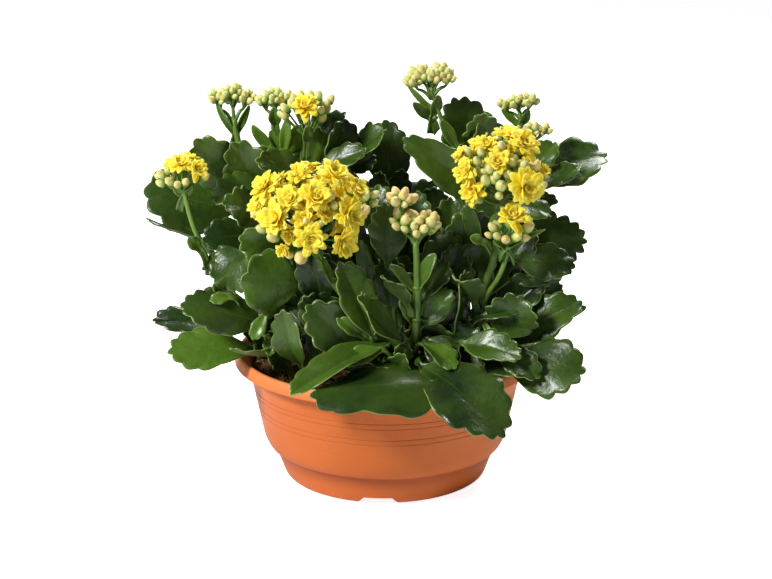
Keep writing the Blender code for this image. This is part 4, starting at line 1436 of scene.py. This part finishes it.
open_head(
    "top_flowers", "head_top_open", (-58, 20, 256), (-58, 22, 264),
    flowers=[
        ((-60, 10, 281), 18, 0),
    ],
    buds=[
        ((-75, 17, 280), 6.5, 0.1), ((-68, 20, 287), 6.5, 0.1), ((-63, 24, 289), 6, 0.1),
        ((-50, 22, 288), 7, 0.1), ((-44, 18, 283), 6.5, 0.2), ((-41, 20, 286), 6.5, 0.2),
        ((-47, 14, 273), 6, 0.3), ((-75, 14, 275), 6, 0.2), ((-56, 26, 288), 6.5, 0.1),
        ((-70, 14, 284), 6, 0.2), ((-48, 13, 279), 6, 0.2), ((-69, 26, 283), 6.5, 0.1),
        ((-60, 32, 283), 6.5, 0.1), ((-50, 30, 283), 6.5, 0.1), ((-66, 32, 277), 6, 0.1),
        ((-54, 34, 276), 6, 0.1), ((-44, 28, 277), 6, 0.1), ((-74, 24, 277), 6, 0.1),
        ((-78, 19, 275), 5, 0.1),
    ],
)


def bud_head(name, node, foot, balls):
    """A head that is still all buds, in balls: place, radius, count, width and peach."""
    bunch = Bunch()
    foot = Vector(foot)
    for centre, radius, count, across, peach in balls:
        fork = foot.lerp(Vector(centre) - UP * radius * 0.8, 0.8)
        bunch.stalk(foot, Vector((foot.x, foot.y, fork.z)).lerp(fork, 0.5), fork, 1.7, 1.2)
        bud_ball(bunch, fork, centre, radius, count, across, peach)
    finish_head(bunch, name, node)


bud_head("top_left_buds", "buds_top_left", (-115, 40, 262), [
    ((-127, 42, 282), 6.5, 12, 5.0, 0.1), ((-116, 41, 286), 7.0, 13, 5.4, 0.1),
    ((-106, 43, 283), 6.5, 11, 5.0, 0.15), ((-116, 47, 281), 6.0, 10, 4.8, 0.1),
])
bud_head("top_centre_buds", "buds_top_centre", (-84, 36, 266), [
    ((-91, 36, 281), 5.5, 10, 4.8, 0.1), ((-83, 36, 285), 6.5, 12, 5.2, 0.1),
    ((-75, 37, 283), 5.5, 10, 4.8, 0.1), ((-83, 42, 280), 5.0, 8, 4.6, 0.1),
])
bud_head("centre_buds", "buds_centre", (22, -60, 194), [
    ((24, -62, 209), 11.0, 17, 7.0, 0.45), ((13, -61, 212), 8.0, 9, 6.2, 0.5),
    ((11, -60, 229), 7.5, 11, 6.8, 0.5), ((32, -60, 211), 6.0, 7, 6.0, 0.4),
])
bud_head("top_buds", "buds_top", (35, 42, 282), [
    ((22, 42, 296), 5.5, 10, 5.6, 0.2), ((28, 41, 302), 6.0, 11, 6.2, 0.15),
    ((36, 41, 299), 6.0, 12, 6.6, 0.2), ((42, 42, 303), 5.5, 10, 6.0, 0.2),
    ((48, 42, 298), 4.5, 8, 5.2, 0.3), ((33, 48, 298), 6.0, 10, 5.8, 0.2),
])
bud_head("top_right_buds", "buds_top_right", (104, 54, 264), [
    ((92, 55, 275), 5.0, 8, 4.8, 0.15), ((101, 54, 277), 5.5, 9, 5.2, 0.15),
    ((111, 55, 278), 5.5, 9, 5.2, 0.15), ((103, 60, 275), 5.0, 7, 4.6, 0.15),
])
bud_head("right_buds", "buds_right", (94, 38, 240), [
    ((77, 36, 254), 5.5, 14, 3.6, 0.05), ((88, 35, 257), 6.5, 16, 3.8, 0.05),
    ((99, 36, 257), 6.0, 14, 3.8, 0.1), ((112, 34, 260), 5.5, 11, 4.4, 0.3),
    ((120, 35, 259), 4.5, 8, 4.0, 0.3), ((94, 41, 252), 5.5, 12, 3.6, 0.05),
])


# --------------------------------------------------------------- the studio
# A plain pale floor and soft light: a square key lamp from the upper left, a
# wide softbox above and behind for the shine on the leaves, and a weak fill.
CAMERA_PLACE = (0.0006, -1.5, 0.587)
CAMERA_PITCH = 16.45
CAMERA_LENS = 96.2
SKY_ON_PLANT = 0.065
WHITE = (1.0, 1.0, 1.0)
BLACK = (0.0, 0.0, 0.0)
PAPER_PALE = (0.93, 0.93, 0.93)
PAPER_SHADE = (0.9, 0.9, 0.9)
PAPER_GLOW = 0.86
FLOOR_SIZE = 14.0
FLOOR_LEVEL = -0.0002


def softbox(name, place, aim, across, deep, power):
    """A rectangular lamp at place that shines at aim, in metres and watts."""
    lamp = bpy.data.lights.new(name, "AREA")
    lamp.shape = "RECTANGLE"
    lamp.size = across
    lamp.size_y = deep
    lamp.energy = power
    thing = new_object(name, lamp)
    thing.location = place
    thing.rotation_euler = (Vector(aim) - Vector(place)).to_track_quat("-Z", "Y").to_euler()


softbox("key_light", (-1.35, -0.95, 1.3), (0.0, 0.0, 0.15), 0.40, 0.40, 44.0)
softbox("top_light", (0.45, 0.85, 1.25), (0.0, 0.0, 0.2), 0.9, 0.5, 26.0)
softbox("fill_light", (1.5, -1.1, 0.9), (0.0, 0.0, 0.15), 1.0, 1.0, 1.0)

world = bpy.data.worlds.new("studio_white")
bpy.context.scene.world = world
world.use_nodes = True
nodes = world.node_tree.nodes
links = world.node_tree.links
sky = nodes["Background"]
sky.inputs["Color"].default_value = (*WHITE, 1.0)
sky.inputs["Strength"].default_value = SKY_ON_PLANT
backdrop = nodes.new("ShaderNodeBackground")
backdrop.inputs["Color"].default_value = (*WHITE, 1.0)
seen = nodes.new("ShaderNodeLightPath")
either = nodes.new("ShaderNodeMixShader")
links.new(seen.outputs["Is Camera Ray"], either.inputs[0])
links.new(sky.outputs[0], either.inputs[1])
links.new(backdrop.outputs[0], either.inputs[2])
links.new(either.outputs[0], nodes["World Output"].inputs["Surface"])

paper = Finish("floor_paper", {"Roughness": 0.9, "Specular IOR Level": 0.1})
paper_grain = paper.cloud(300.0, 2.0)
paper_colour = paper.blend(paper_grain * 0.1, PAPER_PALE, PAPER_SHADE)
paper.feed(paper.shader.inputs["Base Color"], paper_colour)
paper_seen = paper.node("ShaderNodeLightPath", output="Is Camera Ray")
paper.feed(paper.shader.inputs["Emission Color"], paper.blend(paper_seen, BLACK, WHITE))
paper.shader.inputs["Emission Strength"].default_value = PAPER_GLOW
deselect_all()
bpy.ops.mesh.primitive_plane_add(size=FLOOR_SIZE, location=(0.0, 0.0, FLOOR_LEVEL))
floor = bpy.context.object
floor.name = "studio_floor"
floor.data.materials.append(paper.material)
floor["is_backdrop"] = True

lens = bpy.data.cameras.new("camera")
lens.sensor_width = 36.0
lens.lens = CAMERA_LENS
lens.clip_start = 0.01
lens.clip_end = 100.0
camera = new_object("camera", lens)
camera.location = CAMERA_PLACE
camera.rotation_euler = (math.radians(90.0 - CAMERA_PITCH), 0.0, 0.0)
bpy.context.scene.camera = camera
bpy.context.scene.view_settings.view_transform = "Standard"

low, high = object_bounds()
